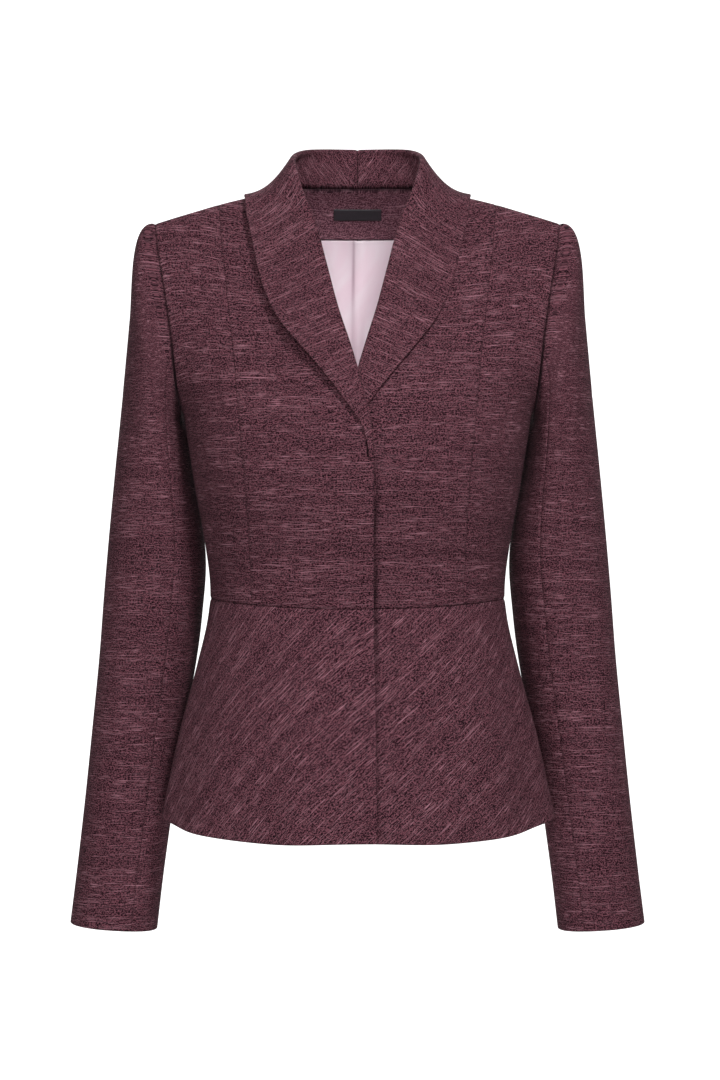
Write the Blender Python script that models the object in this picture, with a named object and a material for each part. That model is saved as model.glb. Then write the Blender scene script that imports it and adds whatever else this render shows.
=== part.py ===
"""Peplum jacket with a shawl collar, standing filled out with nobody in it.

Each cut piece of cloth is one closed wall, but a sleeve piece is three walls end to end.
Lengths are in millimetres until a mesh is made, which is in metres. +Z is up and the front faces -Y. The origin is the centre of the neck base,
level with the points where the shoulder seams meet the collar.

Shapes are worked out for the wearer's left half, at +X, and mirrored for the right half.
An "around" value is an angle in degrees, 0 at centre front, 90 at the side seam.
"""

import math

import bmesh
import bpy
import numpy as np

# Cloth
TWEED = 2.0
LINING = 1.0
WOVEN_LABEL = 0.8
SEAM_GAP = 0.3

# Body form: half width, and depths in front of and behind the side seam, at each height.
FORM_COLUMNS = ("height", "half_width", "front", "back", "squareness")
FORM_SECTIONS = (
    (-375.0, 129.4, 104.0, 86.0, 2.15),
    (-345.0, 130.0, 108.0, 88.0, 2.20),
    (-310.0, 134.6, 117.0, 93.0, 2.30),
    (-266.0, 142.6, 129.0, 102.0, 2.42),
    (-222.0, 149.6, 132.0, 109.0, 2.48),
    (-198.0, 154.0, 129.0, 112.0, 2.48),
    (-165.0, 170.0, 125.0, 114.0, 2.45),
    (-135.0, 184.0, 121.0, 114.0, 2.40),
    (-100.0, 193.0, 118.0, 113.0, 2.40),
    (-50.0, 200.0, 115.0, 112.0, 2.40),
    (40.0, 204.0, 112.0, 112.0, 2.40),
)
SHOULDER_Y = 4.0
FRONT_RUN = 225.0
FRONT_ROUND = 1.4
BACK_RUN = 150.0
BACK_ROUND = 2.0

# Top of the form above each distance from the centre: neck hollow, then the shoulder's slope.
TOP_COLUMNS = ("out", "height")
TOP_LINE = (
    (-25.0, 25.0),
    (0.0, 28.0),
    (25.0, 25.0),
    (45.0, 16.5),
    (58.0, 7.5),
    (68.0, 1.0),
    (80.0, -4.0),
    (100.0, -8.6),
    (122.0, -14.0),
    (150.0, -22.3),
    (178.0, -31.0),
    (205.0, -40.0),
)
NECK_POINT = 68.0
SHOULDER_TIP = 178.0
BACK_NECK_HEIGHT = 6.0
BACK_CORNER = 0.36

# Armhole: how far out the seam lies at each height, in front and behind.
ARMHOLE_COLUMNS = ("height", "front", "back")
ARMHOLE = (
    (-198.0, 154.0, 154.0),
    (-188.0, 155.6, 157.0),
    (-165.0, 158.4, 162.0),
    (-129.0, 162.5, 168.0),
    (-103.0, 166.5, 172.5),
    (-78.0, 170.8, 176.0),
    (-55.0, 175.0, 178.0),
    (-31.0, 178.0, 178.0),
)
UNDERARM = -198.0
UNDERARM_ROW = 0.47
TIP_HEIGHT = -31.0
UNDER_ROW_LOW = 0.53
UNDER_ROW_HIGH = 0.87

# Princess seam of the front: how far out it lies at each height.
PRINCESS_COLUMNS = ("height", "out")
PRINCESS = (
    (-370.0, 91.0),
    (-318.0, 93.0),
    (-257.0, 96.5),
    (-191.0, 102.7),
    (-145.0, 107.0),
    (-99.0, 112.6),
    (-55.0, 118.0),
    (-14.0, 122.0),
)

PRINCESS_TOP = 122.0
PRINCESS_LOW = -367.0

# Waist seam, lower at the centre front, and the front edges that lap over each other.
WAIST_SIDE = -361.0
WAIST_DIP = 7.5
LAP = 14.0
LAPEL_END = -241.0
UNDER_LAP = 2.8
UNDER_LAPEL_DIP = 1.7
OVER_LAPEL_RISE = 1.2
# Where the laps fade out: away from the edge, below the lapel and above it.
EDGE_FADE_START = 22.0
EDGE_FADE_RUN = 46.0
LAPEL_FADE_LOW = -262.0
LAPEL_FADE_LOW_RUN = 30.0
LAPEL_FADE_HIGH = -150.0
LAPEL_FADE_HIGH_RUN = 34.0
NECK_FADE_RUN = 60.0

# Front edge under the lapel's fold: how far out it lies at each height, from lapel end to neck.
FRONT_EDGE_COLUMNS = ("height", "out")
FRONT_EDGE = (
    (-240.0, -9.6),
    (-222.0, -8.6),
    (-208.0, -6.6),
    (-189.0, -2.1),
    (-168.0, 2.9),
    (-144.0, 9.9),
    (-110.0, 20.8),
    (-77.0, 29.4),
    (-58.0, 34.4),
    (-44.0, 38.8),
    (-31.0, 46.0),
    (-19.0, 54.5),
    (-8.0, 62.0),
    (1.0, 68.0),
)

# Shawl collar, from the centre back (0) round the neck and down to the lapel's end.
# Roll is the crest of the fold and edge is the outer edge. Neck is where the stand is sewn on.
# Rise is how far the lapel's middle and lift how far its edge stand off the chest.
COLLAR_COLUMNS = (
    "roll_x", "roll_y", "roll_z", "edge_x", "edge_y", "edge_z", "neck_x", "neck_y", "neck_z",
    "rise", "lift",
)
COLLAR = (
    (0.0, 66.0, 41.0, 0.0, 92.0, -14.0, 0.0, 58.0, 6.6, 3.0, 3.0),
    (28.0, 62.0, 41.0, 42.0, 86.0, -14.0, 26.0, 52.5, 6.4, 3.0, 3.0),
    (44.5, 47.0, 38.5, 74.0, 65.0, -13.0, 45.0, 41.0, 5.4, 3.0, 3.0),
    (53.0, 27.0, 33.0, 92.0, 36.0, -9.0, 58.0, 22.0, 4.4, 3.0, 3.0),
    (55.0, 5.0, 25.0, 99.5, 8.0, -4.6, 64.0, 4.0, 2.6, 3.0, 3.0),
    (52.0, -11.0, 12.0, 98.5, -14.0, -11.0, 58.5, -10.0, -5.0, 3.2, 3.4),
    (46.8, -26.0, -6.0, 96.0, -30.0, -28.0, 49.6, -25.0, -18.0, 3.4, 4.0),
    (36.7, -41.0, -31.7, 91.0, -50.0, -48.0, 40.2, -41.0, -34.0, 3.4, 4.4),
    (25.0, -62.0, -77.0, 80.5, -68.0, -90.0, 29.0, -62.0, -77.0, 3.2, 4.6),
    (16.4, -80.0, -110.0, 67.0, -84.0, -120.0, 20.4, -80.0, -110.0, 3.0, 4.6),
    (5.5, -98.0, -144.0, 44.0, -98.0, -150.0, 9.5, -98.0, -144.0, 2.6, 4.2),
    (-1.5, -107.0, -168.0, 24.0, -107.0, -174.5, 2.5, -107.0, -168.0, 1.4, 3.0),
    (-6.5, -113.0, -189.0, 8.5, -113.0, -195.0, -2.5, -113.0, -189.0, 0.6, 1.6),
    (-11.0, -118.0, -208.0, -3.0, -118.0, -211.0, -7.0, -118.0, -208.0, 0.2, 0.8),
    (-13.4, -121.0, -224.0, -8.0, -121.0, -225.5, -9.4, -121.0, -224.0, 0.0, 0.3),
    (-14.0, -124.0, -240.0, -10.0, -124.0, -240.5, -10.0, -124.0, -240.0, 0.0, 0.0),
)
ON_NECK_UNTIL = 5.0
ON_CHEST_FROM = 7.0
FOLD_RADIUS = 2.25
FOLD_CREST = 0.25
STUB = 1.7
FALL_DROP = 0.5
FALL_SWAY = 1.2
STAND_EXTRA = 0.5
PUFF_SHARE = 0.35
PUFF_REACH = 1.5
EDGE_LIFT_RIGHT = 0.6
EDGE_LIFT_LEFT = 0.5

# Sleeve: heights are of the ring's centre. Tilt lifts its outer side over its inner side.
SLEEVE_COLUMNS = ("height", "tilt", "outer", "inner", "middle_y", "half_depth")
SLEEVE_RINGS = (
    (-165.0, 50.0, 201.0, 153.6, 13.0, 61.0),
    (-215.0, 38.0, 207.0, 148.6, 16.0, 60.0),
    (-265.0, 26.0, 213.5, 141.4, 20.0, 57.0),
    (-315.0, 16.0, 219.5, 137.3, 23.0, 54.0),
    (-365.0, 10.0, 224.5, 140.5, 25.0, 52.0),
    (-420.0, 7.0, 229.0, 146.6, 26.0, 50.0),
    (-480.0, 5.0, 235.0, 155.5, 25.0, 49.0),
    (-540.0, 4.0, 241.0, 163.5, 22.0, 47.5),
    (-600.0, 4.0, 247.5, 171.5, 17.0, 46.0),
    (-650.0, 3.0, 253.5, 177.0, 12.0, 45.0),
)
SLEEVE_FRONT_SEAM = 116.0
SLEEVE_BACK_SEAM = 235.0
CAP_ROWS = 8
CAP_OUT = 70.0
CAP_LIFT = 12.0
CAP_OUT_UNDER = 8.0
CAP_SWING = 26.0
CAP_DROP = 40.0
CAP_ARRIVE = 1.05
UNDERARM_EXTRA_GAP = 0.5
CAP_ARRIVE_ROW = 0.4
TUBE_SQUARENESS = 2.15
# The inner back of the sleeve is drawn in behind the body's side: how far, where round it, which rows.
UNDER_DRAW = 7.0
UNDER_DRAW_TURN = 0.9
UNDER_DRAW_FROM = -0.9
UNDER_DRAW_RISE = 1.0
UNDER_DRAW_UNTIL = 4.2
UNDER_DRAW_FALL = 2.4
# Each cut sleeve piece is three solids end to end, between these rows. The rings slant most
# where the elbow's begins, so it starts a little later to keep the seam gap there.
SLEEVE_PART_COLUMNS = ("part", "first_row", "last_row")
SLEEVE_PARTS = (
    ("top", -1.0, 1.0),
    ("elbow", 1.006, 5.0),
    ("cuff", 5.0, 9.0),
)

# Peplum: its section at each share of the way down, and the hem's height round the body.
PEPLUM_COLUMNS = ("down", "half_width", "front", "back")
PEPLUM_SECTIONS = (
    (0.0, 129.4, 104.5, 86.5),
    (0.1, 132.4, 110.0, 93.0),
    (0.3, 142.0, 121.0, 106.0),
    (0.6, 157.5, 134.0, 122.0),
    (1.0, 173.0, 147.0, 138.0),
)
HEM_COLUMNS = ("around", "height")
HEM = (
    (-20.0, -565.0),
    (0.0, -565.0),
    (25.0, -566.0),
    (50.0, -561.0),
    (75.0, -551.0),
    (90.0, -547.0),
    (120.0, -550.0),
    (180.0, -556.0),
)
FLARE_POWER = 1.3
HEM_SQUARENESS_DROP = 0.1
PEPLUM_LAP_HEIGHT = -370.0
# Flutes: the wearer's side, the angle at the middle, the half width and how far out it stands.
FLUTE_COLUMNS = ("side", "around", "half_angle", "out")
FLUTES = (
    (-1, 17.0, 9.0, 4.0),
    (-1, 52.0, 12.0, 5.0),
    (-1, 74.0, 8.0, 5.0),
    (-1, 99.0, 17.0, -13.0),
    (-1, 131.0, 12.0, 7.0),
    (-1, 160.0, 10.0, 5.0),
    (1, 24.0, 10.0, 2.0),
    (1, 44.0, 11.0, 5.0),
    (1, 73.0, 9.0, 7.0),
    (1, 99.0, 17.0, -13.0),
    (1, 128.0, 12.0, 7.0),
    (1, 158.0, 11.0, 5.0),
)

# Inside of the back
FACING_HALF_AT_NECK = 56.0
FACING_HALF_BELOW = 82.0
FACING_BOTTOM = -35.0
FACING_END_RISE = 9.0
FACING_TURN = 0.45
INSIDE_GAP = 1.2
LINING_TOP_GAP = 1.2
LINING_HALF_AT_TOP = 116.0
LINING_BOTTOM = -352.0
LINING_EXTRA_DEPTH = 0.7
LINING_FROM_ARMHOLE = 9.0
LINING_SIDE_SHARE = 0.985
LINING_NARROWING = 0.3
PLEAT_MIDDLE = 1.0
PLEAT_HALF = 5.0
PLEAT_DEPTH = 2.4
LABEL_WIDTH = 45.0
LABEL_HEIGHT = 10.0
LABEL_MIDDLE = -13.0

RIGHT = -1
LEFT = 1

LOOKS = {
    "tweed": ((0.092, 0.036, 0.047), 0.86),
    "tweed_dark": ((0.075, 0.029, 0.039), 0.88),
    "satin": ((0.64, 0.44, 0.53), 0.38),
    "label": ((0.012, 0.010, 0.013), 0.55),
}


def smooth(rows, columns, knot, value):
    """A smooth line through one column of a table, against another column."""
    knots = np.array([row[columns.index(knot)] for row in rows], float)
    values = np.array([row[columns.index(value)] for row in rows], float)
    order = np.argsort(knots)
    return smooth_line(knots[order], values[order])


def smooth_line(knots, values):
    slopes = np.gradient(values, knots)

    def at(place):
        place = np.clip(place, knots[0], knots[-1])
        i = np.clip(np.searchsorted(knots, place) - 1, 0, len(knots) - 2)
        span = knots[i + 1] - knots[i]
        w = (place - knots[i]) / span
        start = (2 * w**3 - 3 * w**2 + 1) * values[i] + (w**3 - 2 * w**2 + w) * span * slopes[i]
        end = (3 * w**2 - 2 * w**3) * values[i + 1] + (w**3 - w**2) * span * slopes[i + 1]
        return start + end

    return at


def ease(value):
    """0 to 1 with level ends."""
    value = np.clip(value, 0.0, 1.0)
    return value * value * (3 - 2 * value)


def signed_power(value, power):
    return np.sign(value) * np.abs(value) ** power


def points(x, y, z):
    return np.stack(np.broadcast_arrays(x, y, z), -1).astype(float)


def unit(vectors):
    return vectors / np.maximum(np.linalg.norm(vectors, axis=-1, keepdims=True), 1e-12)


def normals(surface, u, v, flip=1, step=1e-6):
    """Directions at right angles to a surface, from its slopes along u and v."""
    along_u = surface(u + step, v) - surface(u - step, v)
    along_v = surface(u, v + step) - surface(u, v - step)
    return flip * unit(np.cross(along_u, along_v))


def moved_out(surface, distance, flip=1):
    """The surface moved along its own normals."""
    return lambda u, v: surface(u, v) + distance * normals(surface, u, v, flip, 1e-5)


half_width = smooth(FORM_SECTIONS, FORM_COLUMNS, "height", "half_width")
front_depth = smooth(FORM_SECTIONS, FORM_COLUMNS, "height", "front")
back_depth = smooth(FORM_SECTIONS, FORM_COLUMNS, "height", "back")
squareness = smooth(FORM_SECTIONS, FORM_COLUMNS, "height", "squareness")
top_line = smooth(TOP_LINE, TOP_COLUMNS, "out", "height")
armhole_front = smooth(ARMHOLE, ARMHOLE_COLUMNS, "height", "front")
armhole_back = smooth(ARMHOLE, ARMHOLE_COLUMNS, "height", "back")
princess_out = smooth(PRINCESS, PRINCESS_COLUMNS, "height", "out")
front_edge_out = smooth(FRONT_EDGE, FRONT_EDGE_COLUMNS, "height", "out")
hem_height = smooth(HEM, HEM_COLUMNS, "around", "height")


def form(around, height, front=True):
    """A point of the body form. Around runs from 0 at the centre to 90 at the side seam."""
    angle = np.radians(around)
    power = 2 / squareness(height)
    x = half_width(height) * signed_power(np.sin(angle), power)
    run = FRONT_RUN if front else BACK_RUN
    roundness = FRONT_ROUND if front else BACK_ROUND
    below = np.clip((top_line(np.abs(x)) - height) / run, 0.0, 1.0)
    profile = (1 - (1 - below) ** roundness) ** (1 / roundness)
    depth = front_depth(height) if front else back_depth(height)
    reach = depth * signed_power(np.cos(angle), power) * profile
    y = SHOULDER_Y - reach if front else SHOULDER_Y + reach
    return points(x, y, height)


def angle_of(x, height):
    """The form's angle at a distance from the centre."""
    share = np.clip(np.abs(x) / half_width(height), 0.0, 1.0)
    return np.sign(x) * np.degrees(np.arcsin(share ** (squareness(height) / 2)))


def waist_height(around):
    dip = np.where(np.abs(around) < 90, np.cos(np.radians(around)) ** 2, 0.0)
    return WAIST_SIDE - WAIST_DIP * dip


def lap_shift(x, height, side):
    """How far a front stands off the form near its edge, where the other front crosses it."""
    near_edge = 1 - ease((x - EDGE_FADE_START) / EDGE_FADE_RUN)
    above_end = ease((height - LAPEL_FADE_LOW) / LAPEL_FADE_LOW_RUN)
    by_lapel = above_end * (1 - ease((height - LAPEL_FADE_HIGH) / LAPEL_FADE_HIGH_RUN))
    if side == RIGHT:
        return OVER_LAPEL_RISE * near_edge * by_lapel
    below_neck = 1 - ease((height - LAPEL_FADE_HIGH) / NECK_FADE_RUN)
    return -near_edge * (UNDER_LAP * below_neck + UNDER_LAPEL_DIP * by_lapel)


def chest(x, height, side, level=0.0):
    """A point at a level above the outer face of a front."""
    around = angle_of(x, height)
    base = form(around, height)
    out = normals(form, around, height, 1, 1e-4)
    return base + out * (lap_shift(x, height, side) + level)[..., None]


def coons(left, right, bottom, top):
    """Blend four border lines, each giving (around, height), into one patch."""

    def at(u, v):
        u, v = np.broadcast_arrays(np.asarray(u, float), np.asarray(v, float))
        across = []
        for k in range(2):
            sides = (1 - u) * left(v)[k] + u * right(v)[k]
            ends = (1 - v) * bottom(u)[k] + v * top(u)[k]
            corners = (
                (1 - u) * (1 - v) * bottom(0.0)[k] + u * (1 - v) * bottom(1.0)[k]
                + (1 - u) * v * top(0.0)[k] + u * v * top(1.0)[k]
            )
            across.append(sides + ends - corners)
        return across

    return at


def side_line(v, front):
    """Side seam from the waist to the underarm, then the armhole up to the shoulder tip."""
    seam = WAIST_SIDE + (UNDERARM - WAIST_SIDE) * np.clip(v / UNDERARM_ROW, 0, 1)
    turn = np.pi * (1 - np.clip((v - UNDERARM_ROW) / (1 - UNDERARM_ROW), 0, 1))
    hole = TIP_HEIGHT + (UNDERARM - TIP_HEIGHT) * (1 - np.cos(turn)) / 2
    height = np.where(v < UNDERARM_ROW, seam, hole)
    out = armhole_front(height) if front else armhole_back(height)
    around = np.where(v < UNDERARM_ROW, 90.0, angle_of(out, height))
    return around, height


def princess_line(v):
    start = waist_height(angle_of(princess_out(PRINCESS_LOW), PRINCESS_LOW))
    height = start + (top_line(PRINCESS_TOP) - start) * v
    return angle_of(princess_out(height), height), height


def front_edge_line(v):
    start = waist_height(0.0)
    height = start + (top_line(NECK_POINT) - start) * v
    out = np.where(height < LAPEL_END, -LAP, front_edge_out(height))
    return angle_of(out, height), height


def centre_back_line(v):
    return 0.0 * v, WAIST_SIDE + (BACK_NECK_HEIGHT - WAIST_SIDE) * v


def waist_line(start, end):
    def at(u):
        around = start + (end - start) * u
        return around, waist_height(around)

    return at


def top_between(start, end):
    """The shoulder line between two distances from the centre."""

    def at(u):
        out = start + (end - start) * u
        height = top_line(out)
        return angle_of(out, height), height

    return at


def back_top(u):
    """Back neck, then the shoulder seam."""
    on_neck = np.clip(u / BACK_CORNER, 0, 1)
    neck_out = NECK_POINT * on_neck
    neck_height = back_neck(neck_out)
    on_shoulder = np.clip((u - BACK_CORNER) / (1 - BACK_CORNER), 0, 1)
    out = NECK_POINT + (SHOULDER_TIP - NECK_POINT) * on_shoulder
    height = np.where(u < BACK_CORNER, neck_height, top_line(out))
    out = np.where(u < BACK_CORNER, neck_out, out)
    return angle_of(out, height), height


def front_centre(side):
    patch = coons(
        front_edge_line, princess_line,
        waist_line(front_edge_line(0.0)[0], princess_line(0.0)[0]),
        top_between(NECK_POINT, PRINCESS_TOP),
    )

    def at(u, v):
        around, height = patch(u, v)
        x = form(around, height)[..., 0]
        return chest(x, height, side)

    return at


def front_side(u, v):
    patch = coons(
        princess_line, lambda w: side_line(w, True),
        waist_line(princess_line(0.0)[0], 90.0), top_between(PRINCESS_TOP, SHOULDER_TIP),
    )
    around, height = patch(u, v)
    return form(around, height)


def back(u, v):
    patch = coons(
        centre_back_line, lambda w: side_line(w, False),
        lambda w: (90.0 * w, WAIST_SIDE + 0 * w), back_top,
    )
    around, height = patch(u, v)
    return form(around, height, front=False)


def armhole_point(around):
    """The armhole seam: 0 at the shoulder tip, 90 in front, 180 under the arm, 270 behind."""
    turn = np.radians(around)
    height = TIP_HEIGHT + (UNDERARM - TIP_HEIGHT) * (1 - np.cos(turn)) / 2
    in_front = np.sin(turn) >= 0
    front = form(angle_of(armhole_front(height), height), height)
    behind = form(angle_of(armhole_back(height), height), height, front=False)
    return np.where(in_front[..., None], front, behind)


def sleeve_ring(around, row):
    """A point of the sleeve below its cap. Row counts the rings of the table."""
    rows = np.arange(len(SLEEVE_RINGS), dtype=float)
    values = {}
    for place, column in enumerate(SLEEVE_COLUMNS):
        values[column] = smooth_line(rows, np.array([ring[place] for ring in SLEEVE_RINGS], float))(row)
    turn = np.radians(around)
    rounding = 2 / TUBE_SQUARENESS
    sideways = signed_power(np.cos(turn), rounding)
    middle_x = (values["outer"] + values["inner"]) / 2
    x = middle_x + (values["outer"] - values["inner"]) / 2 * sideways
    y = values["middle_y"] - values["half_depth"] * signed_power(np.sin(turn), rounding)
    return points(x, y, values["height"] + values["tilt"] * np.cos(turn))


def sleeve(around, row):
    """The whole sleeve: rows -1 to 0 are the cap, from the armhole seam to the first ring."""
    around, row = np.broadcast_arrays(np.asarray(around, float), np.asarray(row, float))
    w = np.clip(row + 1, 0, 1)[..., None]
    turn = np.radians(around)
    top_share = ease((np.cos(turn) + 1) / 2)
    seam = armhole_point(around)
    off_seam = SEAM_GAP + UNDERARM_EXTRA_GAP * (1 - top_share)
    seam = seam + points(off_seam, 0.0 * turn, 0.0 * turn)
    ring = sleeve_ring(around, np.zeros_like(row))
    leave = points(
        CAP_OUT_UNDER + (CAP_OUT - CAP_OUT_UNDER) * top_share,
        -CAP_SWING * np.sin(turn),
        -CAP_DROP * (1 - top_share) + CAP_LIFT * top_share,
    )
    lower = sleeve_ring(around, np.full_like(row, CAP_ARRIVE_ROW)) - ring
    length = np.linalg.norm(ring - seam, axis=-1, keepdims=True)
    arrive = unit(lower) * length * CAP_ARRIVE
    cap = (
        (2 * w**3 - 3 * w**2 + 1) * seam + (w**3 - 2 * w**2 + w) * leave
        + (3 * w**2 - 2 * w**3) * ring + (w**3 - w**2) * arrive
    )
    below = sleeve_ring(around, np.maximum(row, 0.0))
    return np.where((row < 0)[..., None], cap, below)


def hanging_sleeve(around, row):
    """The sleeve with the inner back of its upper half drawn in behind the body's side."""
    turn = np.radians(around)
    inner_back = np.clip(-np.cos(turn - UNDER_DRAW_TURN), 0, 1) ** 3
    coming = ease((row - UNDER_DRAW_FROM) / UNDER_DRAW_RISE)
    going = 1 - ease((row - UNDER_DRAW_UNTIL) / UNDER_DRAW_FALL)
    drawn = UNDER_DRAW * inner_back * coming * going
    return sleeve(around, row) - points(drawn, 0.0 * drawn, 0.0 * drawn)


def peplum(side):
    """The peplum on one side: around 0 to 180, down 0 at the waist seam to 1 at the hem."""
    width = smooth(PEPLUM_SECTIONS, PEPLUM_COLUMNS, "down", "half_width")
    front = smooth(PEPLUM_SECTIONS, PEPLUM_COLUMNS, "down", "front")
    behind = smooth(PEPLUM_SECTIONS, PEPLUM_COLUMNS, "down", "back")
    flutes = [flute for flute in (dict(zip(FLUTE_COLUMNS, row)) for row in FLUTES) if flute["side"] == side]

    def at(around, down):
        around, down = np.broadcast_arrays(np.asarray(around, float), np.asarray(down, float))
        angle = np.radians(around)
        flare = np.clip(down, 0, 1) ** FLARE_POWER
        swell = 0.0
        for flute in flutes:
            away_from_middle = (around - flute["around"]) / flute["half_angle"]
            swell = swell + flute["out"] * np.exp(-(away_from_middle**2))
        power = 2 / (TUBE_SQUARENESS - HEM_SQUARENESS_DROP * flare)
        sine, cosine = signed_power(np.sin(angle), power), signed_power(np.cos(angle), power)
        depth = np.where(cosine > 0, front(down), behind(down))
        x = width(down) * sine
        y = SHOULDER_Y - depth * cosine
        away = unit(points(x / width(down), (y - SHOULDER_Y) / depth, 0.0 * x))
        top = waist_height(around) - SEAM_GAP
        height = top + (hem_height(around) - top) * down
        near_edge = 1 - ease((x - EDGE_FADE_START) / EDGE_FADE_RUN)
        lapped = UNDER_LAP * near_edge * (cosine > 0) if side == LEFT else 0.0
        return points(x, y, height) + away * (swell * flare - lapped)[..., None]

    return at


def collar_line(name):
    column = COLLAR_COLUMNS.index(name)
    values = np.array([row[column] for row in COLLAR], float)
    return smooth_line(np.arange(len(COLLAR), dtype=float), values)


def collar_points(first):
    """A line of the collar. Before station 0 it is the mirror of what comes after."""
    x, y, z = [collar_line(first + axis) for axis in ("_x", "_y", "_z")]
    return lambda s: points(np.sign(s) * x(np.abs(s)), y(np.abs(s)), z(np.abs(s)))


roll_at = collar_points("roll")
edge_at = collar_points("edge")
neck_at = collar_points("neck")
rise_at = collar_line("rise")
lift_at = collar_line("lift")


def hermite(start, leave, end, arrive, w):
    w = w[..., None]
    return (
        (2 * w**3 - 3 * w**2 + 1) * start + (w**3 - 2 * w**2 + w) * leave
        + (3 * w**2 - 2 * w**3) * end + (w**3 - w**2) * arrive
    )


def collar_on_neck(q, s):
    """The collar's face where it stands round the neck: stand (q 0-1), fold (1-2), fall (2-3)."""
    roll, edge, neck = roll_at(s), edge_at(s), neck_at(s)
    along = unit(roll_at(s + 0.05) - roll_at(s - 0.05))
    leg = edge - roll
    leg = unit(leg - along * (leg * along).sum(-1, keepdims=True))
    out = unit(np.cross(along, leg))
    radius = FOLD_RADIUS + STAND_EXTRA
    inner = roll + radius * (leg - out)
    outer = roll + radius * (leg + out)
    stand_length = np.linalg.norm(inner - neck, axis=-1, keepdims=True)
    fall_length = np.linalg.norm(edge - outer, axis=-1, keepdims=True)
    stand = hermite(neck, -leg * stand_length, inner, -leg * stand_length, np.clip(q, 0, 1))
    turn = np.pi * (np.clip(q - 1, 0, 1) - 0.5)[..., None]
    fold = roll + radius * (leg * (1 - np.cos(turn)) + out * np.sin(turn))
    down = points(0 * s, 0 * s, -1.0)
    drop = unit(leg + FALL_DROP * down) * fall_length * FALL_SWAY
    sweep = unit(unit(edge - outer) - FALL_DROP * down) * fall_length * FALL_SWAY
    fall = hermite(outer, drop, edge, sweep, np.clip(q - 2, 0, 1))
    return np.where((q < 1)[..., None], stand, np.where((q < 2)[..., None], fold, fall))


def collar_on_chest(q, s, side):
    """The lapel's face: a short stub (q 0-1), the fold (1-2), then the lapel on the chest (2-3)."""
    roll, edge = roll_at(s), edge_at(s)
    turn = np.pi * (np.clip(q - 1, 0, 1) - 0.5)
    across = np.clip(q - 2, 0, 1)
    in_fold = FOLD_RADIUS * (1 - np.cos(turn)) + STUB * (1 - np.clip(q, 0, 1))
    start_x = roll[..., 0] + FOLD_RADIUS
    x = np.where(q < 2, roll[..., 0] + in_fold, start_x + (edge[..., 0] - start_x) * across)
    height = roll[..., 2] + (edge[..., 2] - roll[..., 2]) * across
    puff = rise_at(s) * np.sin(np.pi * np.clip(across * PUFF_REACH, 0, 1)) * PUFF_SHARE
    lift = lift_at(s) * (EDGE_LIFT_RIGHT if side == RIGHT else EDGE_LIFT_LEFT) * across**2
    level = FOLD_CREST + FOLD_RADIUS * np.sin(turn) + puff + lift
    return chest(x, height, side, level)


def collar(side):
    def at(q, s):
        q, s = np.broadcast_arrays(np.asarray(q, float), np.asarray(s, float))
        share = ease((s - ON_NECK_UNTIL) / (ON_CHEST_FROM - ON_NECK_UNTIL))[..., None]
        return (1 - share) * collar_on_neck(q, s) + share * collar_on_chest(q, s, side)

    return at


def back_neck(out):
    """Height of the back neck seam at a distance from the centre."""
    drop = top_line(NECK_POINT) - BACK_NECK_HEIGHT
    return BACK_NECK_HEIGHT + drop * (np.abs(out) / NECK_POINT) ** 3


def facing_edge(across):
    """Height of the facing's lower edge, which rises towards its ends."""
    return FACING_BOTTOM + FACING_END_RISE * ease((np.abs(across) - FACING_TURN) / (1 - FACING_TURN))


def facing(u, v):
    """Back neck facing from end to end (u), and from its lower edge (v 0) to the neck seam."""
    across = 2 * u - 1
    neck_out = FACING_HALF_AT_NECK * across
    edge_out = FACING_HALF_BELOW * across
    neck_top, edge_top = back_neck(neck_out), facing_edge(across)
    neck_around, edge_around = angle_of(neck_out, neck_top), angle_of(edge_out, edge_top)
    around = edge_around + (neck_around - edge_around) * v
    height = edge_top + (neck_top - edge_top) * v
    return form(around, height, front=False)


def lining(u, v):
    """Back lining, from side to side (u) and from the waist (v 0) to the facing (v 1)."""
    across = 2 * u - 1
    top = facing_edge(across * LINING_HALF_AT_TOP / FACING_HALF_BELOW) - LINING_TOP_GAP
    height = LINING_BOTTOM + (top - LINING_BOTTOM) * v
    by_armhole = armhole_back(height) - LINING_FROM_ARMHOLE
    reach = np.minimum(by_armhole, half_width(height) * LINING_SIDE_SHARE)
    narrow = LINING_HALF_AT_TOP + (reach - LINING_HALF_AT_TOP) * ease((1 - v) / LINING_NARROWING)
    return form(angle_of(np.minimum(narrow, reach) * across, height), height, front=False)


def pleat(u, v):
    """The lining with its centre-back pleat, which stands up towards the wearer."""
    x = lining(u, v)[..., 0]
    ridge = PLEAT_DEPTH * np.clip(1 - np.abs(x - PLEAT_MIDDLE) / PLEAT_HALF, 0, 1)
    inside = -(TWEED + INSIDE_GAP + LINING_EXTRA_DEPTH) - ridge
    return lining(u, v) + inside[..., None] * normals(lining, u, v, -1, 1e-5)


def label_face(u, v):
    """The label's outer side, which rests on the facing."""
    x = LABEL_WIDTH * (u - 0.5)
    height = LABEL_MIDDLE + LABEL_HEIGHT * (v - 0.5)
    around = angle_of(x, height)
    out = normals(lambda a, h: form(a, h, front=False), around, height, -1, 1e-3)
    return form(around, height, front=False) - (2 * TWEED + INSIDE_GAP + 2 * SEAM_GAP) * out


def trimmed(grid, amount=SEAM_GAP / 2):
    """The grid with its four borders drawn in by half a seam gap."""
    grid = grid.copy()
    for border, next_in in ((0, 1), (-1, -2)):
        grid[border] += unit(grid[next_in] - grid[border]) * amount
        grid[:, border] += unit(grid[:, next_in] - grid[:, border]) * amount
    return grid


def material(name):
    colour, roughness = LOOKS[name]
    made = bpy.data.materials.get(name) or bpy.data.materials.new(name)
    made.use_nodes = True
    shader = made.node_tree.nodes["Principled BSDF"]
    shader.inputs["Base Color"].default_value = (*colour, 1.0)
    shader.inputs["Roughness"].default_value = roughness
    shader.inputs["Metallic"].default_value = 0.0
    return made


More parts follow.
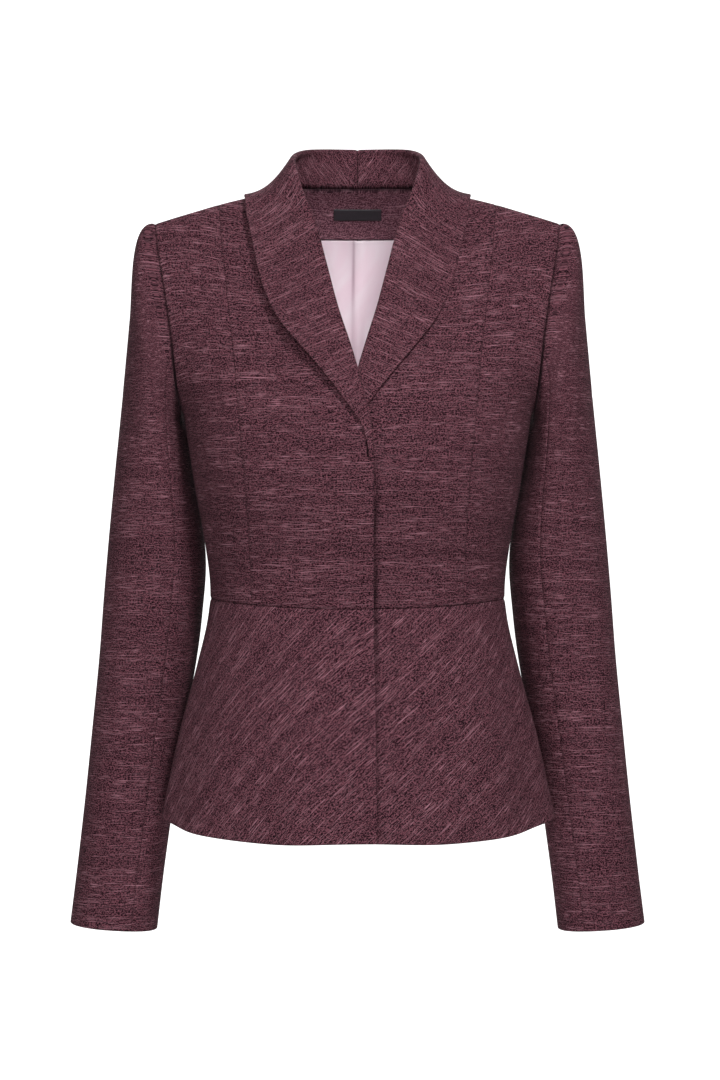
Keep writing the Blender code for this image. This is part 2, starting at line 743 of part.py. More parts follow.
def wall(name, outer, inner, look):
    """A closed wall between two grids of points."""
    wide, high = outer.shape[:2]

    def index(layer, i, j):
        return layer * wide * high + i * high + j

    faces = []
    for i in range(wide - 1):
        for j in range(high - 1):
            corners = [(i, j), (i + 1, j), (i + 1, j + 1), (i, j + 1)]
            faces.append([index(0, *corner) for corner in corners])
            faces.append([index(1, *corner) for corner in reversed(corners)])
    border = [(i, 0) for i in range(wide)] + [(wide - 1, j) for j in range(1, high)]
    border += [(i, high - 1) for i in range(wide - 2, -1, -1)] + [(0, j) for j in range(high - 2, 0, -1)]
    for here, there in zip(border, border[1:] + border[:1]):
        faces.append([index(0, *here), index(1, *here), index(1, *there), index(0, *there)])
    mesh = bpy.data.meshes.new(name)
    corners = np.concatenate([outer.reshape(-1, 3), inner.reshape(-1, 3)]) / 1000
    mesh.from_pydata(corners.tolist(), [], faces)
    built = bmesh.new()
    built.from_mesh(mesh)
    bmesh.ops.triangulate(built, faces=built.faces)
    bmesh.ops.recalc_face_normals(built, faces=built.faces)
    built.to_mesh(mesh)
    built.free()
    mesh.shade_smooth()
    mesh.set_sharp_from_angle(angle=math.radians(40))
    mesh.materials.append(material(look))
    made = bpy.data.objects.new(name, mesh)
    bpy.context.scene.collection.objects.link(made)
    return made


def cloth(name, surface, us, vs, side=LEFT, flip=1, thickness=TWEED, look="tweed", centre_seam=False):
    """A wall of cloth whose outer face is the surface. flip turns its normals outwards."""
    u, v = np.meshgrid(np.asarray(us, float), np.asarray(vs, float), indexing="ij")
    whole = surface(u, v)
    outer = trimmed(whole)
    inner = outer - thickness * normals(surface, u, v, flip)
    if centre_seam:
        on_seam = np.abs(whole[..., 0]) < 1e-3
        outer[on_seam, 0] = inner[on_seam, 0] = SEAM_GAP / 2
    mirror = np.array([side, 1.0, 1.0])
    return wall(name, outer * mirror, inner * mirror, look)


def side_name(side):
    return "right" if side == RIGHT else "left"


def bodice(side):
    name = side_name(side)
    lapel_end = (LAPEL_END - waist_height(0.0)) / (top_line(NECK_POINT) - waist_height(0.0))
    rows = np.concatenate([
        np.linspace(0, lapel_end - 0.003, 6),
        np.linspace(lapel_end + 0.003, UNDERARM_ROW, 3),
        np.linspace(UNDER_ROW_LOW, UNDER_ROW_HIGH, 6),
        (0.92, 0.955, 0.985, 1.0),
    ])
    cloth(f"front_centre_{name}", front_centre(side), np.linspace(0, 1, 8), rows, side)
    cloth(f"front_side_{name}", front_side, np.linspace(0, 1, 7), rows, side)
    columns = np.concatenate([np.linspace(0, BACK_CORNER, 7), np.linspace(0.45, 1, 7)])
    cloth(f"back_{name}", back, columns, rows, side, flip=-1, centre_seam=True)


def sleeves(side):
    name = side_name(side)
    cap = np.linspace(-1, 0, CAP_ROWS + 1)[:-1]
    rows = np.concatenate([cap, np.arange(len(SLEEVE_RINGS))])
    upper = np.linspace(SLEEVE_BACK_SEAM - 360, SLEEVE_FRONT_SEAM, 17)
    under = np.linspace(SLEEVE_FRONT_SEAM, SLEEVE_BACK_SEAM, 10)
    for part, first, last in SLEEVE_PARTS:
        length = np.concatenate([[first], rows[(rows > first) & (rows < last)], [last]])
        cloth(f"sleeve_upper_{part}_{name}", hanging_sleeve, upper, length, side)
        cloth(f"sleeve_under_{part}_{name}", hanging_sleeve, under, length, side, look="tweed_dark")


def peplums(side):
    name = side_name(side)
    rows = np.linspace(0, 1, 7)
    lap_share = LAP / half_width(PEPLUM_LAP_HEIGHT)
    lap_angle = -math.degrees(math.asin(lap_share ** (TUBE_SQUARENESS / 2)))
    front, behind = np.linspace(lap_angle, 90, 19), np.linspace(90, 180, 17)
    cloth(f"peplum_front_{name}", peplum(side), front, rows, side, flip=-1)
    cloth(f"peplum_back_{name}", peplum(side), behind, rows, side, flip=-1, centre_seam=True)


def collars(side):
    name = side_name(side)
    profile = (0, 0.5, 1, 1.25, 1.5, 1.75, 2, 2.2, 2.45, 2.7, 2.88, 3)
    stations = np.concatenate([np.arange(0, 8, 0.5), np.arange(8, len(COLLAR))])
    cloth(f"collar_{name}", collar(side), profile, stations, side, flip=-1, centre_seam=True)


def inside_of_back():
    across, band = np.linspace(0, 1, 19), np.linspace(0, 1, 6)
    lie = moved_out(facing, -(TWEED + INSIDE_GAP), -1)
    cloth("facing_back_neck", lie, across, band, flip=-1)
    fine = 0.5 + np.array((-0.03, -0.012, 0.004, 0.022, 0.04))
    across = np.concatenate([np.linspace(0, 0.44, 6), fine, np.linspace(0.56, 1, 6)])
    cloth("lining_back", pleat, across, np.linspace(0, 1, 10), flip=-1, thickness=LINING, look="satin")
    across, high = np.linspace(0, 1, 5), (0, 0.5, 1)
    cloth("label_neck", label_face, across, high, flip=-1, thickness=WOVEN_LABEL, look="label")


def main():
    for old in list(bpy.data.objects):
        bpy.data.objects.remove(old)
    for side in (RIGHT, LEFT):
        bodice(side)
        sleeves(side)
        peplums(side)
        collars(side)
    inside_of_back()


main()
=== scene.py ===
"""Looks for the peplum jacket: slubbed tweed, satin back lining and a bare woven label.

The cloth's form repeats the named sizes of the solids, in millimetres, on a finer grid.
"""

import math

import bmesh
import bpy
import numpy as np
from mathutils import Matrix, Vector


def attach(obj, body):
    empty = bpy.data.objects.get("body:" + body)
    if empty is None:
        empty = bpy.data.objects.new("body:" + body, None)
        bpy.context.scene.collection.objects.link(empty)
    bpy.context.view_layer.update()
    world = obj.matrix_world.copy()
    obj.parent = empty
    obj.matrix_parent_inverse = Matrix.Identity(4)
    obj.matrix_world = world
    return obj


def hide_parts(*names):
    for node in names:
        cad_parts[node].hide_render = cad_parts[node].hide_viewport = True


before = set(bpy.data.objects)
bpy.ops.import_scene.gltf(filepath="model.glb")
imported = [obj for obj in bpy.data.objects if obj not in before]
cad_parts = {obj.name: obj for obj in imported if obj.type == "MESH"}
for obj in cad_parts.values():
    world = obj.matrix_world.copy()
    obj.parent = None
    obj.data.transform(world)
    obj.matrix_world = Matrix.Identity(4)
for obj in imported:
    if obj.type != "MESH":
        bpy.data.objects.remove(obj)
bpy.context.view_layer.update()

# Cloth
TWEED = 2.0
LINING = 1.0
WOVEN_LABEL = 0.8
SEAM_GAP = 0.3

# Body form: half width, and depths in front of and behind the side seam, at each height.
FORM_COLUMNS = ("height", "half_width", "front", "back", "squareness")
FORM_SECTIONS = (
    (-375, 129.4, 104, 86, 2.15),
    (-345, 130, 108, 88, 2.20),
    (-310, 134.6, 117, 93, 2.30),
    (-266, 142.6, 129, 102, 2.42),
    (-222, 149.6, 132, 109, 2.48),
    (-198, 154, 129, 112, 2.48),
    (-165, 170, 125, 114, 2.45),
    (-135, 184, 121, 114, 2.40),
    (-100, 193, 118, 113, 2.40),
    (-50, 200, 115, 112, 2.40),
    (40, 204, 112, 112, 2.40),
)
SHOULDER_Y = 4.0
FRONT_RUN = 225.0
FRONT_ROUND = 1.4
BACK_RUN = 150.0
BACK_ROUND = 2.0

# Top of the form above each distance from the centre: neck hollow, then the shoulder's slope.
TOP_COLUMNS = ("out", "height")
TOP_LINE = (
    (-25, 25), (0, 28), (25, 25), (45, 16.5),
    (58, 7.5), (68, 1), (80, -4), (100, -8.6),
    (122, -14), (150, -22.3), (178, -31), (205, -40),
)
NECK_POINT = 68.0
SHOULDER_TIP = 178.0
BACK_NECK_HEIGHT = 6.0
BACK_CORNER = 0.36

# Armhole: how far out the seam lies at each height, in front and behind.
ARMHOLE_COLUMNS = ("height", "front", "back")
ARMHOLE = (
    (-198, 154, 154), (-188, 155.6, 157), (-165, 158.4, 162), (-129, 162.5, 168),
    (-103, 166.5, 172.5), (-78, 170.8, 176), (-55, 175, 178), (-31, 178, 178),
)
UNDERARM = -198.0
UNDERARM_ROW = 0.47
TIP_HEIGHT = -31.0

# Princess seam of the front: how far out it lies at each height.
PRINCESS_COLUMNS = ("height", "out")
PRINCESS = (
    (-370, 91), (-318, 93), (-257, 96.5), (-191, 102.7),
    (-145, 107), (-99, 112.6), (-55, 118), (-14, 122),
)
PRINCESS_TOP = 122.0
PRINCESS_LOW = -367.0

# Waist seam, lower at the centre front, and the front edges that lap over each other.
WAIST_SIDE = -361.0
WAIST_DIP = 7.5
LAP = 14.0
LAPEL_END = -241.0
UNDER_LAP = 2.8
UNDER_LAPEL_DIP = 1.7
OVER_LAPEL_RISE = 1.2
# Where the laps fade out: away from the edge, below the lapel and above it.
EDGE_FADE_START = 22.0
EDGE_FADE_RUN = 46.0
LAPEL_FADE_LOW = -262.0
LAPEL_FADE_LOW_RUN = 30.0
LAPEL_FADE_HIGH = -150.0
LAPEL_FADE_HIGH_RUN = 34.0
NECK_FADE_RUN = 60.0

# Front edge under the lapel's fold: how far out it lies at each height, from lapel end to neck.
FRONT_EDGE_COLUMNS = ("height", "out")
FRONT_EDGE = (
    (-240, -9.6), (-222, -8.6), (-208, -6.6), (-189, -2.1), (-168, 2.9),
    (-144, 9.9), (-110, 20.8), (-77, 29.4), (-58, 34.4), (-44, 38.8),
    (-31, 46), (-19, 54.5), (-8, 62), (1, 68),
)

# Shawl collar, from the centre back (0) round the neck and down to the lapel's end.
# Roll is the crest of the fold and edge is the outer edge. Neck is where the stand is sewn on.
# Rise is how far the lapel's middle and lift how far its edge stand off the chest.
COLLAR_COLUMNS = (
    "roll_x", "roll_y", "roll_z", "edge_x", "edge_y", "edge_z", "neck_x", "neck_y", "neck_z",
    "rise", "lift",
)
COLLAR = (
    (0, 66, 41, 0, 92, -14, 0, 58, 6.6, 3, 3),
    (28, 62, 41, 42, 86, -14, 26, 52.5, 6.4, 3, 3),
    (44.5, 47, 38.5, 74, 65, -13, 45, 41, 5.4, 3, 3),
    (53, 27, 33, 92, 36, -9, 58, 22, 4.4, 3, 3),
    (55, 5, 25, 99.5, 8, -4.6, 64, 4, 2.6, 3, 3),
    (52, -11, 12, 98.5, -14, -11, 58.5, -10, -5, 3.2, 3.4),
    (46.8, -26, -6, 96, -30, -28, 49.6, -25, -18, 3.4, 4),
    (36.7, -41, -31.7, 91, -50, -48, 40.2, -41, -34, 3.4, 4.4),
    (25, -62, -77, 80.5, -68, -90, 29, -62, -77, 3.2, 4.6),
    (16.4, -80, -110, 67, -84, -120, 20.4, -80, -110, 3, 4.6),
    (5.5, -98, -144, 44, -98, -150, 9.5, -98, -144, 2.6, 4.2),
    (-1.5, -107, -168, 24, -107, -174.5, 2.5, -107, -168, 1.4, 3),
    (-6.5, -113, -189, 8.5, -113, -195, -2.5, -113, -189, 0.6, 1.6),
    (-11, -118, -208, -3, -118, -211, -7, -118, -208, 0.2, 0.8),
    (-13.4, -121, -224, -8, -121, -225.5, -9.4, -121, -224, 0, 0.3),
    (-14, -124, -240, -10, -124, -240.5, -10, -124, -240, 0, 0),
)
ON_NECK_UNTIL = 5.0
ON_CHEST_FROM = 7.0
FOLD_RADIUS = 2.25
FOLD_CREST = 0.25
STUB = 1.7
FALL_DROP = 0.5
FALL_SWAY = 1.2
STAND_EXTRA = 0.5
PUFF_SHARE = 0.35
PUFF_REACH = 1.5
EDGE_LIFT_RIGHT = 1.9
EDGE_LIFT_LEFT = 0.8

# Sleeve: heights are of the ring's centre. Tilt lifts its outer side over its inner side.
SLEEVE_COLUMNS = ("height", "tilt", "outer", "inner", "middle_y", "half_depth")
SLEEVE_RINGS = (
    (-165, 50, 201, 153.6, 13, 61),
    (-215, 38, 207, 148.6, 16, 60),
    (-265, 26, 213.5, 141.4, 20, 57),
    (-315, 16, 219.5, 137.3, 23, 54),
    (-365, 10, 224.5, 140.5, 25, 52),
    (-420, 7, 229, 146.6, 26, 50),
    (-480, 5, 235, 155.5, 25, 49),
    (-540, 4, 241, 163.5, 22, 47.5),
    (-600, 4, 247.5, 171.5, 17, 46),
    (-650, 3, 253.5, 177, 12, 45),
)
SLEEVE_FRONT_SEAM = 116.0
SLEEVE_BACK_SEAM = 235.0
CAP_OUT = 70.0
CAP_LIFT = 12.0
CAP_OUT_UNDER = 8.0
CAP_SWING = 26.0
CAP_DROP = 40.0
CAP_ARRIVE = 1.05
UNDERARM_EXTRA_GAP = 0.5
CAP_ARRIVE_ROW = 0.4
TUBE_SQUARENESS = 2.15

# Peplum: its section at each share of the way down, and the hem's height round the body.
PEPLUM_COLUMNS = ("down", "half_width", "front", "back")
PEPLUM_SECTIONS = (
    (0, 129.4, 104.5, 86.5), (0.1, 132.4, 110, 93), (0.3, 142, 121, 106),
    (0.6, 157.5, 134, 122), (1, 173, 147, 138),
)
HEM_COLUMNS = ("around", "height")
HEM = (
    (-20, -565), (0, -565), (25, -566), (50, -561),
    (75, -551), (90, -547), (120, -550), (180, -556),
)
FLARE_POWER = 1.3
HEM_SQUARENESS_DROP = 0.1
PEPLUM_LAP_HEIGHT = -370.0
# Flutes: the wearer's side, the angle at the middle, the half width and how far out it stands.
FLUTE_COLUMNS = ("side", "around", "half_angle", "out")
FLUTES = (
    (-1, 17, 9, 4),
    (-1, 52, 12, 5),
    (-1, 74, 8, 5),
    (-1, 99, 17, -13),
    (-1, 131, 12, 7),
    (-1, 160, 10, 5),
    (1, 24, 10, 2),
    (1, 44, 11, 5),
    (1, 73, 9, 7),
    (1, 99, 17, -13),
    (1, 128, 12, 7),
    (1, 158, 11, 5),
)

# Inside of the back
FACING_HALF_AT_NECK = 56.0
FACING_HALF_BELOW = 82.0
FACING_BOTTOM = -35.0
FACING_END_RISE = 9.0
FACING_TURN = 0.45
INSIDE_GAP = 1.2
LINING_TOP_GAP = 1.2
LINING_HALF_AT_TOP = 116.0
LINING_BOTTOM = -352.0
LINING_EXTRA_DEPTH = 0.7
LINING_FROM_ARMHOLE = 9.0
LINING_SIDE_SHARE = 0.985
LINING_NARROWING = 0.3
PLEAT_MIDDLE = 1.0
PLEAT_HALF = 5.0
PLEAT_DEPTH = 2.4
LABEL_WIDTH = 45.0
LABEL_HEIGHT = 10.0
LABEL_MIDDLE = -13.0

RIGHT = -1
LEFT = 1
SIDE_NAMES = {RIGHT: "right", LEFT: "left"}


def smooth(rows, columns, knot, value):
    """A smooth line through one column of a table, against another column."""
    knots = np.array([row[columns.index(knot)] for row in rows], float)
    values = np.array([row[columns.index(value)] for row in rows], float)
    order = np.argsort(knots)
    return smooth_line(knots[order], values[order])


def hermite(start, leave, end, arrive, w):
    """A curve from start (w 0) to end (w 1), with the ways in which it leaves and arrives."""
    return (
        (2 * w**3 - 3 * w**2 + 1) * start + (w**3 - 2 * w**2 + w) * leave
        + (3 * w**2 - 2 * w**3) * end + (w**3 - w**2) * arrive
    )


def smooth_line(knots, values):
    slopes = np.gradient(values, knots)

    def at(place):
        place = np.clip(place, knots[0], knots[-1])
        i = np.clip(np.searchsorted(knots, place) - 1, 0, len(knots) - 2)
        span = knots[i + 1] - knots[i]
        w = (place - knots[i]) / span
        start = (2 * w**3 - 3 * w**2 + 1) * values[i] + (w**3 - 2 * w**2 + w) * span * slopes[i]
        end = (3 * w**2 - 2 * w**3) * values[i + 1] + (w**3 - w**2) * span * slopes[i + 1]
        return start + end

    return at


def ease(value):
    """0 to 1 with level ends."""
    value = np.clip(value, 0.0, 1.0)
    return value * value * (3 - 2 * value)


def bell(value):
    """1 at nought, fading out on both sides."""
    return np.exp(-(value**2))


def signed_power(value, power):
    return np.sign(value) * np.abs(value) ** power


def points(x, y, z):
    return np.stack(np.broadcast_arrays(x, y, z), -1).astype(float)


def spread(first, second):
    """Two values or grids as floats of one shape."""
    return np.broadcast_arrays(np.asarray(first, float), np.asarray(second, float))


def unit(vectors):
    return vectors / np.maximum(np.linalg.norm(vectors, axis=-1, keepdims=True), 1e-12)


def normals(surface, u, v, flip=1, step=1e-5):
    """Directions at right angles to a surface, from its slopes along u and v."""
    along_u = surface(u + step, v) - surface(u - step, v)
    along_v = surface(u, v + step) - surface(u, v - step)
    return flip * unit(np.cross(along_u, along_v))


def moved_out(surface, distance, flip=1):
    """The surface moved along its own normals."""
    return lambda u, v: surface(u, v) + distance * normals(surface, u, v, flip)


half_width, front_depth, back_depth, squareness = [
    smooth(FORM_SECTIONS, FORM_COLUMNS, "height", column) for column in FORM_COLUMNS[1:]
]
top_line = smooth(TOP_LINE, TOP_COLUMNS, "out", "height")
armhole_front, armhole_back = [
    smooth(ARMHOLE, ARMHOLE_COLUMNS, "height", column) for column in ARMHOLE_COLUMNS[1:]
]
princess_out = smooth(PRINCESS, PRINCESS_COLUMNS, "height", "out")
front_edge_out = smooth(FRONT_EDGE, FRONT_EDGE_COLUMNS, "height", "out")
hem_height = smooth(HEM, HEM_COLUMNS, "around", "height")


def form(around, height, front=True):
    """A point of the body form. Around runs from 0 at the centre to 90 at the side seam."""
    angle = np.radians(around)
    power = 2 / squareness(height)
    x = half_width(height) * signed_power(np.sin(angle), power)
    run = FRONT_RUN if front else BACK_RUN
    roundness = FRONT_ROUND if front else BACK_ROUND
    below = np.clip((top_line(np.abs(x)) - height) / run, 0.0, 1.0)
    profile = (1 - (1 - below) ** roundness) ** (1 / roundness)
    depth = front_depth(height) if front else back_depth(height)
    reach = depth * signed_power(np.cos(angle), power) * profile
    y = SHOULDER_Y - reach if front else SHOULDER_Y + reach
    return points(x, y, height)


def angle_of(x, height):
    """The form's angle at a distance from the centre."""
    share = np.clip(np.abs(x) / half_width(height), 0.0, 1.0)
    return np.sign(x) * np.degrees(np.arcsin(share ** (squareness(height) / 2)))


def waist_height(around):
    dip = np.where(np.abs(around) < 90, np.cos(np.radians(around)) ** 2, 0.0)
    return WAIST_SIDE - WAIST_DIP * dip


def lap_shift(x, height, side):
    """How far a front stands off the form near its edge, where the other front crosses it."""
    near_edge = 1 - ease((x - EDGE_FADE_START) / EDGE_FADE_RUN)
    above_end = ease((height - LAPEL_FADE_LOW) / LAPEL_FADE_LOW_RUN)
    by_lapel = above_end * (1 - ease((height - LAPEL_FADE_HIGH) / LAPEL_FADE_HIGH_RUN))
    if side == RIGHT:
        return OVER_LAPEL_RISE * near_edge * by_lapel
    below_neck = 1 - ease((height - LAPEL_FADE_HIGH) / NECK_FADE_RUN)
    return -near_edge * (UNDER_LAP * below_neck + UNDER_LAPEL_DIP * by_lapel)


def chest(x, height, side, level=0.0):
    """A point at a level above the outer face of a front."""
    around = angle_of(x, height)
    base = form(around, height)
    out = normals(form, around, height, step=1e-4)
    return base + out * (lap_shift(x, height, side) + level)[..., None]


def coons(left, right, bottom, top):
    """Blend four border lines, each giving (around, height), into one patch."""

    def at(u, v):
        u, v = spread(u, v)
        across = []
        for k in range(2):
            sides = (1 - u) * left(v)[k] + u * right(v)[k]
            ends = (1 - v) * bottom(u)[k] + v * top(u)[k]
            corners = (
                (1 - u) * (1 - v) * bottom(0.0)[k] + u * (1 - v) * bottom(1.0)[k]
                + (1 - u) * v * top(0.0)[k] + u * v * top(1.0)[k]
            )
            across.append(sides + ends - corners)
        return across

    return at


def side_line(v, front):
    """Side seam from the waist to the underarm, then the armhole up to the shoulder tip."""
    seam = WAIST_SIDE + (UNDERARM - WAIST_SIDE) * np.clip(v / UNDERARM_ROW, 0, 1)
    turn = np.pi * (1 - np.clip((v - UNDERARM_ROW) / (1 - UNDERARM_ROW), 0, 1))
    hole = TIP_HEIGHT + (UNDERARM - TIP_HEIGHT) * (1 - np.cos(turn)) / 2
    height = np.where(v < UNDERARM_ROW, seam, hole)
    out = armhole_front(height) if front else armhole_back(height)
    around = np.where(v < UNDERARM_ROW, 90.0, angle_of(out, height))
    return around, height


def princess_line(v):
    start = waist_height(angle_of(princess_out(PRINCESS_LOW), PRINCESS_LOW))
    height = start + (top_line(PRINCESS_TOP) - start) * v
    return angle_of(princess_out(height), height), height


def front_edge_line(v):
    start = waist_height(0.0)
    height = start + (top_line(NECK_POINT) - start) * v
    out = np.where(height < LAPEL_END, -LAP, front_edge_out(height))
    return angle_of(out, height), height


def centre_back_line(v):
    return 0.0 * v, WAIST_SIDE + (BACK_NECK_HEIGHT - WAIST_SIDE) * v


def waist_line(start, end):
    def at(u):
        around = start + (end - start) * u
        return around, waist_height(around)

    return at


def top_between(start, end):
    """The shoulder line between two distances from the centre."""

    def at(u):
        out = start + (end - start) * u
        height = top_line(out)
        return angle_of(out, height), height

    return at


def back_top(u):
    """Back neck, then the shoulder seam."""
    on_neck = np.clip(u / BACK_CORNER, 0, 1)
    neck_out = NECK_POINT * on_neck
    neck_height = back_neck(neck_out)
    on_shoulder = np.clip((u - BACK_CORNER) / (1 - BACK_CORNER), 0, 1)
    out = NECK_POINT + (SHOULDER_TIP - NECK_POINT) * on_shoulder
    height = np.where(u < BACK_CORNER, neck_height, top_line(out))
    out = np.where(u < BACK_CORNER, neck_out, out)
    return angle_of(out, height), height


def front_centre(side):
    patch = coons(
        front_edge_line, princess_line,
        waist_line(front_edge_line(0.0)[0], princess_line(0.0)[0]),
        top_between(NECK_POINT, PRINCESS_TOP),
    )

    def at(u, v):
        around, height = patch(u, v)
        x = form(around, height)[..., 0]
        return chest(x, height, side)

    return at


def front_side(u, v):
    patch = coons(
        princess_line, lambda w: side_line(w, True),
        waist_line(princess_line(0.0)[0], 90.0), top_between(PRINCESS_TOP, SHOULDER_TIP),
    )
    around, height = patch(u, v)
    return form(around, height)


def back(u, v):
    patch = coons(
        centre_back_line, lambda w: side_line(w, False),
        lambda w: (90.0 * w, WAIST_SIDE + 0 * w), back_top,
    )
    around, height = patch(u, v)
    return form(around, height, front=False)


def armhole_point(around):
    """The armhole seam: 0 at the shoulder tip, 90 in front, 180 under the arm, 270 behind."""
    turn = np.radians(around)
    height = TIP_HEIGHT + (UNDERARM - TIP_HEIGHT) * (1 - np.cos(turn)) / 2
    in_front = np.sin(turn) >= 0
    front = form(angle_of(armhole_front(height), height), height)
    behind = form(angle_of(armhole_back(height), height), height, front=False)
    return np.where(in_front[..., None], front, behind)


def sleeve_ring(around, row):
    """A point of the sleeve below its cap. Row counts the rings of the table."""
    rows = np.arange(len(SLEEVE_RINGS), dtype=float)
    values = {}
    for place, column in enumerate(SLEEVE_COLUMNS):
        values[column] = smooth_line(rows, np.array([ring[place] for ring in SLEEVE_RINGS], float))(row)
    turn = np.radians(around)
    rounding = 2 / TUBE_SQUARENESS
    sideways = signed_power(np.cos(turn), rounding)
    middle_x = (values["outer"] + values["inner"]) / 2
    x = middle_x + (values["outer"] - values["inner"]) / 2 * sideways
    y = values["middle_y"] - values["half_depth"] * signed_power(np.sin(turn), rounding)
    return points(x, y, values["height"] + values["tilt"] * np.cos(turn))


def sleeve(around, row):
    """The whole sleeve: rows -1 to 0 are the cap, from the armhole seam to the first ring."""
    around, row = spread(around, row)
    w = np.clip(row + 1, 0, 1)[..., None]
    turn = np.radians(around)
    top_share = ease((np.cos(turn) + 1) / 2)
    seam = armhole_point(around)
    off_seam = SEAM_GAP + UNDERARM_EXTRA_GAP * (1 - top_share)
    seam = seam + points(off_seam, 0.0 * turn, 0.0 * turn)
    ring = sleeve_ring(around, np.zeros_like(row))
    leave = points(
        CAP_OUT_UNDER + (CAP_OUT - CAP_OUT_UNDER) * top_share,
        -CAP_SWING * np.sin(turn),
        -CAP_DROP * (1 - top_share) + CAP_LIFT * top_share,
    )
    lower = sleeve_ring(around, np.full_like(row, CAP_ARRIVE_ROW)) - ring
    length = np.linalg.norm(ring - seam, axis=-1, keepdims=True)
    arrive = unit(lower) * length * CAP_ARRIVE
    cap = hermite(seam, leave, ring, arrive, w)
    below = sleeve_ring(around, np.maximum(row, 0.0))
    return np.where((row < 0)[..., None], cap, below)


def peplum(side):
    """The peplum on one side: around 0 to 180, down 0 at the waist seam to 1 at the hem."""
    width = smooth(PEPLUM_SECTIONS, PEPLUM_COLUMNS, "down", "half_width")
    front = smooth(PEPLUM_SECTIONS, PEPLUM_COLUMNS, "down", "front")
    behind = smooth(PEPLUM_SECTIONS, PEPLUM_COLUMNS, "down", "back")
    flutes = [flute for flute in (dict(zip(FLUTE_COLUMNS, row)) for row in FLUTES) if flute["side"] == side]

    def at(around, down):
        around, down = spread(around, down)
        angle = np.radians(around)
        flare = np.clip(down, 0, 1) ** FLARE_POWER
        swell = 0.0
        for flute in flutes:
            away_from_middle = (around - flute["around"]) / flute["half_angle"]
            swell = swell + flute["out"] * bell(away_from_middle)
        power = 2 / (TUBE_SQUARENESS - HEM_SQUARENESS_DROP * flare)
        sine, cosine = signed_power(np.sin(angle), power), signed_power(np.cos(angle), power)
        depth = np.where(cosine > 0, front(down), behind(down))
        x = width(down) * sine
        y = SHOULDER_Y - depth * cosine
        away = unit(points(x / width(down), (y - SHOULDER_Y) / depth, 0.0 * x))
        top = waist_height(around) - SEAM_GAP
        height = top + (hem_height(around) - top) * down
        near_edge = 1 - ease((x - EDGE_FADE_START) / EDGE_FADE_RUN)
        lapped = UNDER_LAP * near_edge * (cosine > 0) if side == LEFT else 0.0
        return points(x, y, height) + away * (swell * flare - lapped)[..., None]

    return at


def collar_line(name):
    column = COLLAR_COLUMNS.index(name)
    values = np.array([row[column] for row in COLLAR], float)
    return smooth_line(np.arange(len(COLLAR), dtype=float), values)


def collar_points(first):
    """A line of the collar. Before station 0 it is the mirror of what comes after."""
    x, y, z = [collar_line(first + axis) for axis in ("_x", "_y", "_z")]
    return lambda s: points(np.sign(s) * x(np.abs(s)), y(np.abs(s)), z(np.abs(s)))


roll_at = collar_points("roll")
edge_at = collar_points("edge")
neck_at = collar_points("neck")
rise_at = collar_line("rise")
lift_at = collar_line("lift")


def collar_on_neck(q, s):
    """The collar's face where it stands round the neck: stand (q 0-1), fold (1-2), fall (2-3)."""
    roll, edge, neck = roll_at(s), edge_at(s), neck_at(s)
    along = unit(roll_at(s + 0.05) - roll_at(s - 0.05))
    leg = edge - roll
    leg = unit(leg - along * (leg * along).sum(-1, keepdims=True))
    out = unit(np.cross(along, leg))
    radius = FOLD_RADIUS + STAND_EXTRA
    inner = roll + radius * (leg - out)
    outer = roll + radius * (leg + out)
    stand_length = np.linalg.norm(inner - neck, axis=-1, keepdims=True)
    fall_length = np.linalg.norm(edge - outer, axis=-1, keepdims=True)
    q = q[..., None]
    stand = hermite(neck, -leg * stand_length, inner, -leg * stand_length, np.clip(q, 0, 1))
    turn = np.pi * (np.clip(q - 1, 0, 1) - 0.5)
    fold = roll + radius * (leg * (1 - np.cos(turn)) + out * np.sin(turn))
    down = points(0 * s, 0 * s, -1.0)
    drop = unit(leg + FALL_DROP * down) * fall_length * FALL_SWAY
    sweep = unit(unit(edge - outer) - FALL_DROP * down) * fall_length * FALL_SWAY
    fall = hermite(outer, drop, edge, sweep, np.clip(q - 2, 0, 1))
    return np.where(q < 1, stand, np.where(q < 2, fold, fall))


def collar_on_chest(q, s, side):
    """The lapel's face: a short stub (q 0-1), the fold (1-2), then the lapel on the chest (2-3)."""
    roll, edge = roll_at(s), edge_at(s)
    turn = np.pi * (np.clip(q - 1, 0, 1) - 0.5)
    across = np.clip(q - 2, 0, 1)
    in_fold = FOLD_RADIUS * (1 - np.cos(turn)) + STUB * (1 - np.clip(q, 0, 1))
    start_x = roll[..., 0] + FOLD_RADIUS
    x = np.where(q < 2, roll[..., 0] + in_fold, start_x + (edge[..., 0] - start_x) * across)
    height = roll[..., 2] + (edge[..., 2] - roll[..., 2]) * across
    puff = rise_at(s) * np.sin(np.pi * np.clip(across * PUFF_REACH, 0, 1)) * PUFF_SHARE
    lift = lift_at(s) * (EDGE_LIFT_RIGHT if side == RIGHT else EDGE_LIFT_LEFT) * across**2
    level = FOLD_CREST + FOLD_RADIUS * np.sin(turn) + puff + lift
    return chest(x, height, side, level)


def collar(side):
    def at(q, s):
        q, s = spread(q, s)
        share = ease((s - ON_NECK_UNTIL) / (ON_CHEST_FROM - ON_NECK_UNTIL))[..., None]
        return (1 - share) * collar_on_neck(q, s) + share * collar_on_chest(q, s, side)

    return at


def back_neck(out):
    """Height of the back neck seam at a distance from the centre."""
    drop = top_line(NECK_POINT) - BACK_NECK_HEIGHT
    return BACK_NECK_HEIGHT + drop * (np.abs(out) / NECK_POINT) ** 3


def facing_edge(across):
    """Height of the facing's lower edge, which rises towards its ends."""
    return FACING_BOTTOM + FACING_END_RISE * ease((np.abs(across) - FACING_TURN) / (1 - FACING_TURN))


